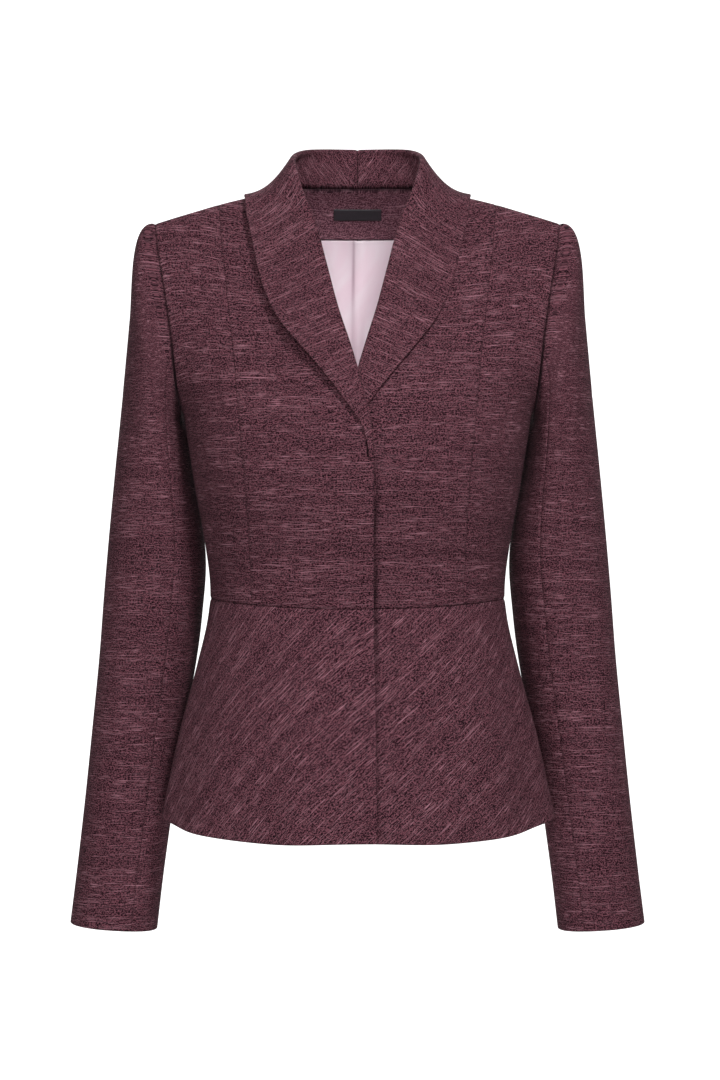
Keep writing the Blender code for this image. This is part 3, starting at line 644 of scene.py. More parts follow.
def facing(u, v):
    """Back neck facing from end to end (u), and from its lower edge (v 0) to the neck seam."""
    across = 2 * u - 1
    neck_out = FACING_HALF_AT_NECK * across
    edge_out = FACING_HALF_BELOW * across
    neck_top, edge_top = back_neck(neck_out), facing_edge(across)
    neck_around, edge_around = angle_of(neck_out, neck_top), angle_of(edge_out, edge_top)
    around = edge_around + (neck_around - edge_around) * v
    height = edge_top + (neck_top - edge_top) * v
    return form(around, height, front=False)


def lining(u, v):
    """Back lining, from side to side (u) and from the waist (v 0) to the facing (v 1)."""
    across = 2 * u - 1
    top = facing_edge(across * LINING_HALF_AT_TOP / FACING_HALF_BELOW) - LINING_TOP_GAP
    height = LINING_BOTTOM + (top - LINING_BOTTOM) * v
    by_armhole = armhole_back(height) - LINING_FROM_ARMHOLE
    reach = np.minimum(by_armhole, half_width(height) * LINING_SIDE_SHARE)
    narrow = LINING_HALF_AT_TOP + (reach - LINING_HALF_AT_TOP) * ease((1 - v) / LINING_NARROWING)
    return form(angle_of(np.minimum(narrow, reach) * across, height), height, front=False)


def pleat(u, v):
    """The lining with its centre-back pleat, which stands up towards the wearer."""
    x = lining(u, v)[..., 0]
    ridge = PLEAT_DEPTH * np.clip(1 - np.abs(x - PLEAT_MIDDLE) / PLEAT_HALF, 0, 1)
    inside = -(TWEED + INSIDE_GAP + LINING_EXTRA_DEPTH) - ridge
    return lining(u, v) + inside[..., None] * normals(lining, u, v, -1)


def label_face(u, v):
    """The label's outer side, which rests on the facing."""
    x = LABEL_WIDTH * (u - 0.5)
    height = LABEL_MIDDLE + LABEL_HEIGHT * (v - 0.5)
    around = angle_of(x, height)
    out = normals(lambda a, h: form(a, h, front=False), around, height, -1, step=1e-3)
    return form(around, height, front=False) - (2 * TWEED + INSIDE_GAP + 2 * SEAM_GAP) * out


# Soft troughs and ridges pressed into the cloth, in the front or back view.
FOLD_COLUMNS = ("face", "start_x", "start_z", "end_x", "end_z", "half_width", "out")
BODY_FOLDS = (
    ("front", -118, -205, -84, -262, 13, -1.1),
    ("front", -60, -322, -112, -338, 8, -0.9),
    ("front", -40, -346, -104, -352, 6, 0.6),
    ("front", 118, -210, 88, -270, 13, -1),
    ("front", 46, -318, 108, -332, 8, -0.9),
    ("front", 30, -344, 100, -350, 6, 0.6),
    ("front", -144, -112, -150, -176, 9, -1.3),
    ("front", 144, -108, 151, -178, 9, -1.3),
    ("back", -112, -120, -66, -196, 15, -1.3),
    ("back", 112, -116, 70, -190, 15, -1.2),
    ("back", -26, -326, -104, -338, 9, -1.1),
    ("back", 24, -322, 100, -335, 9, -1.1),
)
SLEEVE_FOLDS = (
    ("front", -214, -196, -172, -246, 11, -1.5),
    ("front", -176, -322, -216, -346, 12, -1.4),
    ("front", -164, -372, -222, -362, 9, 1),
    ("front", -170, -408, -226, -430, 13, -1.5),
    ("front", -196, -520, -240, -500, 14, -1.1),
    ("front", 212, -192, 174, -240, 11, -1.5),
    ("front", 172, -330, 214, -352, 12, -1.4),
    ("front", 166, -380, 220, -372, 9, 1),
    ("front", 172, -416, 224, -440, 13, -1.5),
    ("front", 190, -528, 238, -512, 14, -1.1),
    ("back", -216, -330, -170, -352, 12, -1.5),
    ("back", -222, -392, -172, -412, 12, -1.4),
    ("back", 214, -326, 170, -348, 12, -1.5),
    ("back", 222, -396, 172, -418, 12, -1.4),
)
PEPLUM_FOLDS = (
    ("front", -128, -470, -142, -545, 9, -1.2),
    ("front", 60, -450, 68, -552, 12, -1),
    ("front", -64, -440, -76, -548, 12, -1),
)

# A fold presses the cloth in front of the first depth, or behind the second, and is weaker at its ends.
FOLDS_FRONT_OF = 12.0
FOLDS_BEHIND = 24.0
FOLD_END_SHARE = 0.45
FOLD_END_REACH = 0.8
FOLD_FADE = 9.0

# Sewn edges sink into the seam, less on the inside. Cut edges are rounded.
SEAM_SINK = 0.7
SEAM_REACH = 1.3
SINK_INSIDE = 0.5
EDGE_ROUND = 0.9
EDGE_FULLNESS = 0.85
CENTRE_LAP = 0.1
ON_CENTRE = 1e-3

# How far each sewn border runs on under its neighbour: at the first and last u, then v.
ALLOWANCE = (0.35, 0.35, 0.35, 0.35)
FACING_ALLOWANCE = (0.35, 0.35, 0.0, 3.2)
SLEEVE_ALLOWANCE = (0.35, 0.35, 4.2, 0.0)
PEPLUM_ALLOWANCE = (0.35, 0.35, 1.0, 0.0)
COLLAR_ALLOWANCE = (2.2, 0.0, 0.35, 0.0)

# Painted shade lines that darken the colour: along sewn seams, close under the right front's edge, and along
# the lining's pleat.
# Width of the painted shade along sewn seams.
SEAM_SHADE_WIDTH = 0.3
# Painted shadow close under the right front's edge: where it lies, how wide, and where it fades in below the
# lapel.
LAP_SHADOW_X = 14.8
LAP_SHADOW_WIDTH = 2.2
LAP_SHADOW_TOP = LAPEL_END + 6.0
LAP_SHADOW_FADE = 10.0
# Painted shade along the lining's pleat, and a softer painted shade on its one side.
PLEAT_SHADE_LINE = -3.6
PLEAT_SHADE_WIDTH = 0.9
PLEAT_LINE_SHADE = 0.85
PLEAT_SIDE_SHADE = 0.38
PLEAT_SIDE_RUN = 6.0

# The inner back of the upper sleeve is drawn in, over these rows of its table.
UNDER_DRAW = 7.0
UNDER_DRAW_TURN = 0.9
UNDER_DRAW_FROM = -0.9
UNDER_DRAW_RISE = 1.0
UNDER_DRAW_UNTIL = 4.2
UNDER_DRAW_FALL = 2.4

# Grid lines: close together near an edge, then at an even step.
EDGE_STEPS = (0.0, 0.5, 1.1, 2.0, 3.4)
GRID_STEP = 3.2
FEWEST_LINES = 3
NEAREST_LINE = 0.0016
LAPEL_END_KINK = 0.003
STAND_EDGE = (0.0, 0.015, 0.035)
STAND_LINES = 13
FOLD_LINES = 11
LABEL_LINES = 9


def fold_push(place, rows):
    """How far the folds push each point of the cloth out."""
    push = np.zeros(place.shape[:-1])
    for row in rows:
        fold = dict(zip(FOLD_COLUMNS, row))
        start = np.array((fold["start_x"], fold["start_z"]))
        way = np.array((fold["end_x"], fold["end_z"])) - start
        from_start = place[..., (0, 2)] - start
        along = from_start @ way / (way @ way)
        off = from_start - np.clip(along, 0, 1)[..., None] * way
        near = bell(np.linalg.norm(off, axis=-1) / fold["half_width"])
        inwards = ease(1 - np.abs(2 * along - 1) * FOLD_END_REACH)
        taper = FOLD_END_SHARE + (1 - FOLD_END_SHARE) * inwards
        depth = place[..., 1]
        facing_it = depth < FOLDS_FRONT_OF if fold["face"] == "front" else depth > FOLDS_BEHIND
        push += fold["out"] * near * taper * facing_it
    return push


def fine_lines(start, end, length, extra=(), step=GRID_STEP):
    """Grid lines between two values, closer together near both ends. Lengths are in millimetres."""
    near = np.array(EDGE_STEPS) / length
    middle = np.linspace(near[-1], 1 - near[-1], max(FEWEST_LINES, int(length / step)))[1:-1]
    values = start + (end - start) * np.concatenate([near, middle, 1 - near[::-1]])
    if len(extra):
        apart = NEAREST_LINE * abs(end - start)
        values = np.array([value for value in values if min(abs(value - e) for e in extra) > apart])
    return np.sort(np.concatenate([values, extra]))


def grid_normals(grid, flip):
    along_u = np.gradient(grid, axis=0)
    along_v = np.gradient(grid, axis=1)
    return flip * unit(np.cross(along_u, along_v))


def border_distances(grid):
    """Distance of each point from the grid's four borders, along the cloth."""
    first = np.linalg.norm(np.diff(grid, axis=0), axis=-1)
    second = np.linalg.norm(np.diff(grid, axis=1), axis=-1)
    from_u = np.concatenate([np.zeros((1, grid.shape[1])), np.cumsum(first, axis=0)])
    from_v = np.concatenate([np.zeros((grid.shape[0], 1)), np.cumsum(second, axis=1)], axis=1)
    return from_u, from_u[-1:] - from_u, from_v, from_v[:, -1:] - from_v


def with_seam_allowance(grid, ends, allowance):
    """The grid with each sewn border carried on under its neighbour, and each free one as cut."""
    grid = grid.copy()
    borders = (grid[0], grid[-1], grid[:, 0], grid[:, -1])
    inside = (grid[1], grid[-2], grid[:, 1], grid[:, -2])
    for border, next_in, end, extra in zip(borders, inside, ends, allowance):
        if end == "sewn":
            border -= unit(next_in - border) * extra
    return grid


def solids_of(name):
    """A sleeve piece takes the place of three solids end to end. Any other piece takes one."""
    if not name.startswith("sleeve"):
        return [name]
    stem, side = name.rsplit("_", 1)
    return [f"{stem}_{length}_{side}" for length in ("top", "elbow", "cuff")]


def cloth_piece(
    node, surface, us, vs, side, flip, looks, threads_at, ends, folds=(), thickness=TWEED,
    centre_seam=False, allowance=ALLOWANCE, painted_shade_marks=None,
):
    """One cut piece: a closed thin shell. ends says sewn or free for its four borders."""
    u, v = np.meshgrid(us, vs, indexing="ij")
    whole = surface(u, v)
    mirror = np.array([side, 1.0, 1.0])
    out = grid_normals(whole, flip)
    outer = with_seam_allowance(whole, ends, allowance)
    distances = border_distances(whole)
    sink, rounding, painted_shade = np.zeros((3, *u.shape))
    for distance, end in zip(distances, ends):
        if end == "sewn":
            sink = np.maximum(sink, SEAM_SINK * bell(distance / SEAM_REACH))
            # Painted shade along each sewn seam.
            painted_shade = np.maximum(painted_shade, bell(distance / SEAM_SHADE_WIDTH))
        else:
            left = np.clip(1 - distance / EDGE_ROUND, 0, 1)
            rounding = np.maximum(rounding, thickness / 2 * EDGE_FULLNESS * (1 - np.sqrt(1 - left**2)))
    # The piece's own painted shade and painted shadow marks.
    if painted_shade_marks:
        painted_shade = np.maximum(painted_shade, painted_shade_marks(whole))
    push = fold_push(whole * mirror, folds) * ease(np.minimum.reduce(distances) / FOLD_FADE)
    inner = outer + out * (push - sink * SINK_INSIDE - thickness + rounding)[..., None]
    outer = outer + out * (push - sink - rounding)[..., None]
    if centre_seam:
        on_seam = np.abs(whole[..., 0]) < ON_CENTRE
        outer[on_seam, 0] = -CENTRE_LAP
        inner[on_seam, 0] = -CENTRE_LAP
    threads = threads_at(whole * mirror, distances, u, v)
    piece = shell_mesh(node, outer * mirror, inner * mirror, threads, painted_shade, looks)
    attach(piece, "root")
    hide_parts(*solids_of(node))


def shell_mesh(node, outer, inner, threads, painted_shade, looks):
    wide, high = outer.shape[:2]
    number = np.arange(wide * high).reshape(wide, high)
    quads = np.stack([number[:-1, :-1], number[1:, :-1], number[1:, 1:], number[:-1, 1:]], -1).reshape(-1, 4)
    back = quads[:, ::-1] + wide * high
    loop = np.concatenate([number[:-1, 0], number[-1, :-1], number[:0:-1, -1], number[0, :0:-1]])
    after = np.roll(loop, -1)
    rim = np.stack([loop, loop + wide * high, after + wide * high, after], -1)
    mesh = bpy.data.meshes.new(node + "_cloth")
    corners = np.concatenate([outer.reshape(-1, 3), inner.reshape(-1, 3)]) / 1000
    mesh.from_pydata(corners.tolist(), [], np.concatenate([quads, back, rim]).tolist())
    for look in looks:
        mesh.materials.append(look)
    if len(looks) > 1:
        inside = np.zeros(len(mesh.polygons), dtype=np.int32)
        inside[len(quads):2 * len(quads)] = 1
        mesh.polygons.foreach_set("material_index", inside)
    thread_map = mesh.uv_layers.new(name="threads")
    at = np.empty(len(mesh.loops), dtype=np.int32)
    mesh.loops.foreach_get("vertex_index", at)
    both = np.concatenate([threads.reshape(-1, 2), threads.reshape(-1, 2)])
    thread_map.data.foreach_set("uv", both[at].ravel())
    # Painted shade: how far the colour darkens along seams, under the right front's edge and by the lining's
    # pleat.
    painted_crease_shade = mesh.attributes.new("crease_shade", "FLOAT", "POINT")
    painted_crease_shade.data.foreach_set("value", np.concatenate([painted_shade.ravel(), painted_shade.ravel()]))
    closed = bmesh.new()
    closed.from_mesh(mesh)
    bmesh.ops.recalc_face_normals(closed, faces=closed.faces)
    closed.to_mesh(mesh)
    closed.free()
    mesh.shade_smooth()
    return place_in_scene(node + "_cloth", mesh)


# Threads
LEVEL_SHARE = 0.8
# A front's threads lift towards the shoulder: how steeply, from how far out and over which heights.
FRONT_TILT = 0.16
TILT_OUT_FROM = 60.0
TILT_FROM = -170.0
TILT_RUN = 130.0
# The peplum lies flat as part of a ring, and the collar as a strip that turns along its length.
PEPLUM_FAN = 0.225
PEPLUM_FAN_RADIUS = 504.0
PEPLUM_BIAS = math.radians(47.0)
COLLAR_MIDDLE = 0.75
COLLAR_TURN = math.radians(-24.0)
COLLAR_TURN_FROM = 3.0
COLLAR_TURN_RUN = 6.0
COLLAR_BIAS = math.radians(50.0)


def thread_places(along, across, offset):
    """Each point's place along and across the threads, in centimetres."""
    return np.stack([(along + offset[0]) / 10, (across + offset[1]) / 10], -1)


def on_bias(x, y, bias):
    """Places on flat cloth, seen along threads that run at an angle."""
    return x * math.cos(bias) + y * math.sin(bias), -x * math.sin(bias) + y * math.cos(bias)


def straight_threads(offset, tilt=0.0):
    """Threads that keep mostly level round the body, and else to the piece's own length."""

    def at(place, distances, u, v):
        height = place[..., 2]
        across = LEVEL_SHARE * (height - WAIST_SIDE) + (1 - LEVEL_SHARE) * distances[2]
        outwards = np.clip(np.abs(place[..., 0]) - TILT_OUT_FROM, 0, None)
        lifted = tilt * outwards * ease((height - TILT_FROM) / TILT_RUN)
        return thread_places(distances[0], across - lifted, offset)

    return at


def sleeve_threads(offset):
    """Threads that hang nearly level, over the cap too."""

    def at(place, distances, u, v):
        start = int(np.argmin(np.abs(v[0])))
        across = distances[2] - distances[2][:, start:start + 1]
        level = place[:, start:start + 1, 2] - across
        hanging = LEVEL_SHARE * place[..., 2] + (1 - LEVEL_SHARE) * level
        return thread_places(distances[0], hanging, offset)

    return at


def peplum_threads(side, offset):
    """Straight threads on a flat fan, so that they turn round the body."""

    def at(place, distances, u, v):
        turn = np.radians(u) * side * PEPLUM_FAN
        radius = PEPLUM_FAN_RADIUS + distances[2]
        return thread_places(*on_bias(radius * np.sin(turn), -radius * np.cos(turn), PEPLUM_BIAS), offset)

    return at


def collar_threads(offset):
    """Straight threads on a flat collar that is cut in a curve round the neck."""

    def at(place, distances, u, v):
        # u is across the collar, v along it
        middle = int(u.shape[0] * COLLAR_MIDDLE)
        steps = np.linalg.norm(np.diff(place[middle], axis=0), axis=-1)
        heading = COLLAR_TURN * ease((v[middle] - COLLAR_TURN_FROM) / COLLAR_TURN_RUN)
        step_x = np.concatenate([[0.0], np.cumsum(steps * np.cos(heading[1:]))])
        step_y = np.concatenate([[0.0], np.cumsum(steps * np.sin(heading[1:]))])
        across = distances[0] - distances[0][middle:middle + 1]
        x = step_x[None] - across * np.sin(heading)[None]
        y = step_y[None] + across * np.cos(heading)[None]
        return thread_places(*on_bias(x, y, COLLAR_BIAS), offset)

    return at


# Grain of each cloth: its scale along and across the threads, its shift, detail and roughness.
GRAINS = {
    "thin": (0.60, 14.0, (3.1, 7.7, 0.0), 1.0, 0.5),
    "long": (0.28, 12.0, (11.4, 2.3, 4.0), 1.0, 0.5),
    "short": (2.2, 15.0, (5.8, 9.1, 8.0), 1.0, 0.5),
    "band": (0.07, 0.9, (1.3, 6.2, 2.0), 2.0, 0.5),
    "fine": (6.4, 10.5, (2.0, 4.0, 1.0), 1.0, 0.8),
    "level": (1.6, 9.5, (6.0, 1.0, 3.0), 2.0, 0.7),
    "cloud": (0.12, 0.35, (8.0, 3.0, 6.0), 2.0, 0.5),
    "ripple": (0.5, 0.16, (4.0, 1.0, 0.0), 2.0, 0.5),
    "upright": (22.0, 1.2, (2.0, 5.0, 0.0), 1.0, 0.5),
    "rib": (3.0, 26.0, (1.0, 2.0, 0.0), 1.0, 0.5),
}
# The levels of a grain from which it starts to count and at which it counts fully.
LEVELS = {
    "thin": (0.57, 0.73),
    "long": (0.60, 0.76),
    "short": (0.60, 0.82),
    "band": (0.34, 0.66),
    "cloud": (0.3, 0.7),
    "ripple": (0.3, 0.7),
}
HEATHER_LEVELS = (0.482, 0.556)
SHORT_SHARE = 0.7
BAND_SHARE = 0.75
FINE_SHARE = 0.7
BAND_IN_HEATHER = 0.014
SPECK_HEIGHT = 0.8
SLUB_HEIGHT = 0.9

# Colours: the tweeds from their dark threads to their slubs, then the other cloths and the painted shade
# along seams, under the right front's edge and along the pleat.
OUTSIDE_TWEED = ((0.004, 0.001, 0.003), (0.048, 0.015, 0.023), (0.164, 0.058, 0.077), (0.400, 0.190, 0.235))
# The facing's tweed is a lighter copy of the outside tweed: painted light inside the back neck.
FACING_TWEED_PAINTED_LIGHTER = ((0.050, 0.018, 0.028), (0.150, 0.060, 0.080), (0.300, 0.135, 0.170), (0.450, 0.240, 0.290))
SATIN_TINTS = ((0.95, 0.77, 0.85), (0.98, 0.86, 0.92))
LABEL_TINTS = ((0.008, 0.006, 0.009), (0.024, 0.019, 0.025))
# Painted shade colours, and how far the tweed and the satin are taken towards them.
TWEED_PAINTED_SHADE = (0.004, 0.001, 0.002)
SATIN_PAINTED_SHADE = (0.36, 0.22, 0.29)
TWEED_PAINTED_SHADE_SHARE = 0.85
SATIN_PAINTED_SHADE_SHARE = 0.8
CLOUD_SHARE = 0.12
SATIN_ROUGHNESS = 0.32
SATIN_ROUGHNESS_SPREAD = 0.12


def put(tree, socket, value):
    """Links a socket to another one, or sets it to a plain value."""
    if isinstance(value, bpy.types.NodeSocket):
        tree.links.new(value, socket)
    else:
        socket.default_value = value


def set_inputs(node, values):
    for name, value in values.items():
        node.inputs[name].default_value = value


def grain(tree, thread_place, name):
    """Noise on the thread place, scaled along and across the threads."""
    along, across, shift, detail, roughness = GRAINS[name]
    scaled = tree.nodes.new("ShaderNodeVectorMath")
    scaled.operation = "MULTIPLY_ADD"
    tree.links.new(thread_place, scaled.inputs[0])
    scaled.inputs[1].default_value = (along, across, 0.0)
    scaled.inputs[2].default_value = shift
    made = tree.nodes.new("ShaderNodeTexNoise")
    tree.links.new(scaled.outputs["Vector"], made.inputs["Vector"])
    set_inputs(made, {"Scale": 1.0, "Detail": detail, "Roughness": roughness})
    return made.outputs["Fac"]


def span(tree, value, low, high):
    """The value as 0 to 1 between two levels, with soft ends."""
    made = tree.nodes.new("ShaderNodeMapRange")
    made.interpolation_type = "SMOOTHSTEP"
    tree.links.new(value, made.inputs["Value"])
    set_inputs(made, {"From Min": low, "From Max": high})
    return made.outputs["Result"]


def combined(tree, operation, *values):
    made = tree.nodes.new("ShaderNodeMath")
    made.operation = operation
    for place, value in enumerate(values):
        put(tree, made.inputs[place], value)
    return made.outputs["Value"]


def mixed(tree, share, first, second):
    """A colour between two others."""
    made = tree.nodes.new("ShaderNodeMix")
    made.data_type = "RGBA"
    put(tree, made.inputs[0], share)
    colours = [socket for socket in made.inputs if socket.type == "RGBA"]
    for socket, colour in zip(colours, (first, second)):
        put(tree, socket, (*colour, 1.0) if isinstance(colour, tuple) else colour)
    return next(socket for socket in made.outputs if socket.type == "RGBA")


def build_slubbed_weave():
    """Slubs, heathered threads and weave height for every tweed material."""
    tree = bpy.data.node_groups.new("slubbed weave", "ShaderNodeTree")
    tree.interface.new_socket("Threads", in_out="INPUT", socket_type="NodeSocketVector")
    for name in ("Slubs", "Heather", "Shade", "Height"):
        tree.interface.new_socket(name, in_out="OUTPUT", socket_type="NodeSocketFloat")
    place = tree.nodes.new("NodeGroupInput").outputs["Threads"]
    end = tree.nodes.new("NodeGroupOutput")
    names = ("thin", "long", "short", "band", "cloud")
    thin, long, short, band, cloud = [span(tree, grain(tree, place, name), *LEVELS[name]) for name in names]
    streaks = combined(tree, "MAXIMUM", thin, long)
    streaks = combined(tree, "MAXIMUM", streaks, combined(tree, "MULTIPLY", short, SHORT_SHARE))
    fuller = combined(tree, "MULTIPLY_ADD", band, BAND_SHARE, 1 - BAND_SHARE)
    slubs = combined(tree, "MULTIPLY", streaks, fuller)
    level = combined(tree, "MULTIPLY", grain(tree, place, "level"), 1 - FINE_SHARE)
    speck = combined(tree, "MULTIPLY_ADD", grain(tree, place, "fine"), FINE_SHARE, level)
    heather = span(tree, combined(tree, "MULTIPLY_ADD", band, BAND_IN_HEATHER, speck), *HEATHER_LEVELS)
    raised = combined(tree, "MULTIPLY", slubs, SLUB_HEIGHT)
    height = combined(tree, "MULTIPLY_ADD", speck, SPECK_HEIGHT, raised)
    for name, value in (("Slubs", slubs), ("Heather", heather), ("Shade", cloud), ("Height", height)):
        tree.links.new(value, end.inputs[name])
    return tree


def new_look(name):
    """A material with its node tree, its shader and the thread places of its cloth."""
    made = bpy.data.materials.new(name)
    made.use_nodes = True
    tree = made.node_tree
    threads = tree.nodes.new("ShaderNodeUVMap")
    threads.uv_map = "threads"
    return made, tree, tree.nodes["Principled BSDF"], threads.outputs["UV"]


def add_bump(tree, shader, height, strength, distance):
    bump = tree.nodes.new("ShaderNodeBump")
    set_inputs(bump, {"Strength": strength, "Distance": distance})
    tree.links.new(height, bump.inputs["Height"])
    tree.links.new(bump.outputs["Normal"], shader.inputs["Normal"])


def with_painted_shade(tree, colour, share, painted_crease_shade):
    """The colour, taken towards a painted shade colour along seams, under the right front's edge and along
    the lining's pleat.
    """
    painted_shade = tree.nodes.new("ShaderNodeAttribute")
    painted_shade.attribute_name = "crease_shade"
    return mixed(tree, combined(tree, "MULTIPLY", painted_shade.outputs["Fac"], share), colour, painted_crease_shade)


def tweed(name, colours, weave):
    dark, middle, rose, slub = colours
    made, tree, shader, threads = new_look(name)
    group = tree.nodes.new("ShaderNodeGroup")
    group.node_tree = weave
    tree.links.new(threads, group.inputs["Threads"])
    ground = mixed(tree, group.outputs["Heather"], dark, rose)
    clouded = mixed(tree, combined(tree, "MULTIPLY", group.outputs["Shade"], CLOUD_SHARE), ground, middle)
    slubbed = mixed(tree, group.outputs["Slubs"], clouded, slub)
    # The tweed is darkened by painted shade along seams and under the right front's edge.
    tree.links.new(with_painted_shade(tree, slubbed, TWEED_PAINTED_SHADE_SHARE, TWEED_PAINTED_SHADE), shader.inputs["Base Color"])
    set_inputs(shader, {"Roughness": 0.86, "Specular IOR Level": 0.08, "Sheen Weight": 0.03})
    set_inputs(shader, {"Sheen Roughness": 0.5, "Sheen Tint": (0.85, 0.55, 0.62, 1.0)})
    add_bump(tree, shader, group.outputs["Height"], strength=0.7, distance=0.0010)
    return made


def satin(name):
    """Pale satin: fine upright threads and a soft, uneven shine."""
    made, tree, shader, threads = new_look(name)
    ripple = span(tree, grain(tree, threads, "ripple"), *LEVELS["ripple"])
    upright = grain(tree, threads, "upright")
    tint = mixed(tree, ripple, *SATIN_TINTS)
    # The satin is darkened by painted shade along its pleat and seams.
    tree.links.new(with_painted_shade(tree, tint, SATIN_PAINTED_SHADE_SHARE, SATIN_PAINTED_SHADE), shader.inputs["Base Color"])
    roughness = combined(tree, "MULTIPLY_ADD", upright, SATIN_ROUGHNESS_SPREAD, SATIN_ROUGHNESS)
    tree.links.new(roughness, shader.inputs["Roughness"])
    add_bump(tree, shader, upright, strength=0.15, distance=0.0003)
    return made


def woven_label(name):
    made, tree, shader, threads = new_look(name)
    ribs = grain(tree, threads, "rib")
    tree.links.new(mixed(tree, ribs, *LABEL_TINTS), shader.inputs["Base Color"])
    set_inputs(shader, {"Roughness": 0.5})
    add_bump(tree, shader, ribs, strength=0.3, distance=0.0002)
    return made


def painted_lap_shadow(place):
    """Painted shadow: a dark line on the left front and peplum, close under the right one's edge."""
    below_lapel = ease((LAP_SHADOW_TOP - place[..., 2]) / LAP_SHADOW_FADE)
    return below_lapel * bell((place[..., 0] - LAP_SHADOW_X) / LAP_SHADOW_WIDTH)


def painted_pleat_shade(place):
    """Painted shade along the pleat's fold, and a soft painted shade on one side of it."""
    off = place[..., 0] - PLEAT_SHADE_LINE
    line = PLEAT_LINE_SHADE * bell(off / PLEAT_SHADE_WIDTH)
    beside = PLEAT_SIDE_SHADE * np.exp(-np.clip(-off, 0, None) / PLEAT_SIDE_RUN) * (off < 0)
    return np.maximum(line, beside)


def make_bodice(side, looks):
    name = SIDE_NAMES[side]
    waist = waist_height(0.0)
    lapel_end = (LAPEL_END - waist) / (top_line(NECK_POINT) - waist)
    kinks = (lapel_end - LAPEL_END_KINK, lapel_end + LAPEL_END_KINK, UNDERARM_ROW)
    rows = fine_lines(0, 1, 370, kinks)
    shift = 700.0 if side == RIGHT else 0.0
    cloth_piece(
        f"front_centre_{name}", front_centre(side), fine_lines(0, 1, 100), rows, side, 1, looks,
        straight_threads((shift, 40.0), FRONT_TILT), ("free", "sewn", "sewn", "sewn"), BODY_FOLDS,
        # The left front gets a painted shadow under the right front's edge.
        painted_shade_marks=painted_lap_shadow if side == LEFT else None,
    )
    cloth_piece(
        f"front_side_{name}", front_side, fine_lines(0, 1, 90), rows, side, 1, looks,
        straight_threads((shift + 131.0, 43.0), FRONT_TILT), ("sewn",) * 4, BODY_FOLDS,
    )
    cloth_piece(
        f"back_{name}", back, fine_lines(0, 1, 180, (BACK_CORNER,), step=3.4), rows, side, -1, looks,
        straight_threads((shift + 350.0, 90.0)), ("sewn",) * 4, BODY_FOLDS, centre_seam=True,
    )


def hanging_sleeve(around, row):
    """The sleeve with the inner back of its upper half drawn in behind the body's side."""
    place = sleeve(around, row)
    turn = np.radians(around)
    inner_back = np.clip(-np.cos(turn - UNDER_DRAW_TURN), 0, 1) ** 3
    fading = ease((row - UNDER_DRAW_UNTIL) / UNDER_DRAW_FALL)
    by_height = ease((row - UNDER_DRAW_FROM) / UNDER_DRAW_RISE) * (1 - fading)
    return place - points(UNDER_DRAW * inner_back * by_height, 0.0, 0.0)


def make_sleeves(side, looks):
    name = SIDE_NAMES[side]
    close = len(EDGE_STEPS) - 1
    cap = fine_lines(-1, 0, 150, step=3.4)[:-close]
    below = fine_lines(0, len(SLEEVE_RINGS) - 1, 485, step=3.6)[close:]
    rows = np.unique(np.concatenate([cap, below, [0.0]]))
    upper = fine_lines(SLEEVE_BACK_SEAM - 360, SLEEVE_FRONT_SEAM, 190)
    under = fine_lines(SLEEVE_FRONT_SEAM, SLEEVE_BACK_SEAM, 90)
    shift = 300.0 if side == RIGHT else 1200.0
    for half, around, offset in (("upper", upper, (shift, 0.0)), ("under", under, (shift + 190.0, 5.0))):
        cloth_piece(
            f"sleeve_{half}_{name}", hanging_sleeve, around, rows, side, 1, looks, sleeve_threads(offset),
            ("sewn", "sewn", "sewn", "free"), SLEEVE_FOLDS, allowance=SLEEVE_ALLOWANCE,
        )


def make_peplum(side, looks):
    name = SIDE_NAMES[side]
    rows = fine_lines(0, 1, 200)
    lap_share = LAP / half_width(PEPLUM_LAP_HEIGHT)
    lap_angle = -math.degrees(math.asin(lap_share ** (TUBE_SQUARENESS / 2)))
    cloth_piece(
        f"peplum_front_{name}", peplum(side), fine_lines(lap_angle, 90, 240), rows, side, -1, looks,
        peplum_threads(side, (31.0, 17.0)), ("free", "sewn", "sewn", "free"), PEPLUM_FOLDS,
        # The left peplum gets a painted shadow under the right front's edge.
        allowance=PEPLUM_ALLOWANCE, painted_shade_marks=painted_lap_shadow if side == LEFT else None,
    )
    cloth_piece(
        f"peplum_back_{name}", peplum(side), fine_lines(90, 180, 220), rows, side, -1, looks,
        peplum_threads(side, (431.0, 317.0)), ("sewn", "sewn", "sewn", "free"), PEPLUM_FOLDS,
        centre_seam=True, allowance=PEPLUM_ALLOWANCE,
    )


def make_collar(side, looks):
    stand = np.linspace(0, 1, STAND_LINES)[1:]
    fold = np.linspace(1, 2, FOLD_LINES)[1:]
    fall = fine_lines(2, 3, 60, step=2.6)[len(EDGE_STEPS):]
    across = np.concatenate([STAND_EDGE, stand, fold, fall])
    along = fine_lines(0, len(COLLAR) - 1, 330, step=2.6)
    cloth_piece(
        f"collar_{SIDE_NAMES[side]}", collar(side), across, along, side, -1, looks,
        collar_threads((57.0 * side, 11.0)), ("sewn", "free", "sewn", "free"), centre_seam=True,
        allowance=COLLAR_ALLOWANCE,
    )


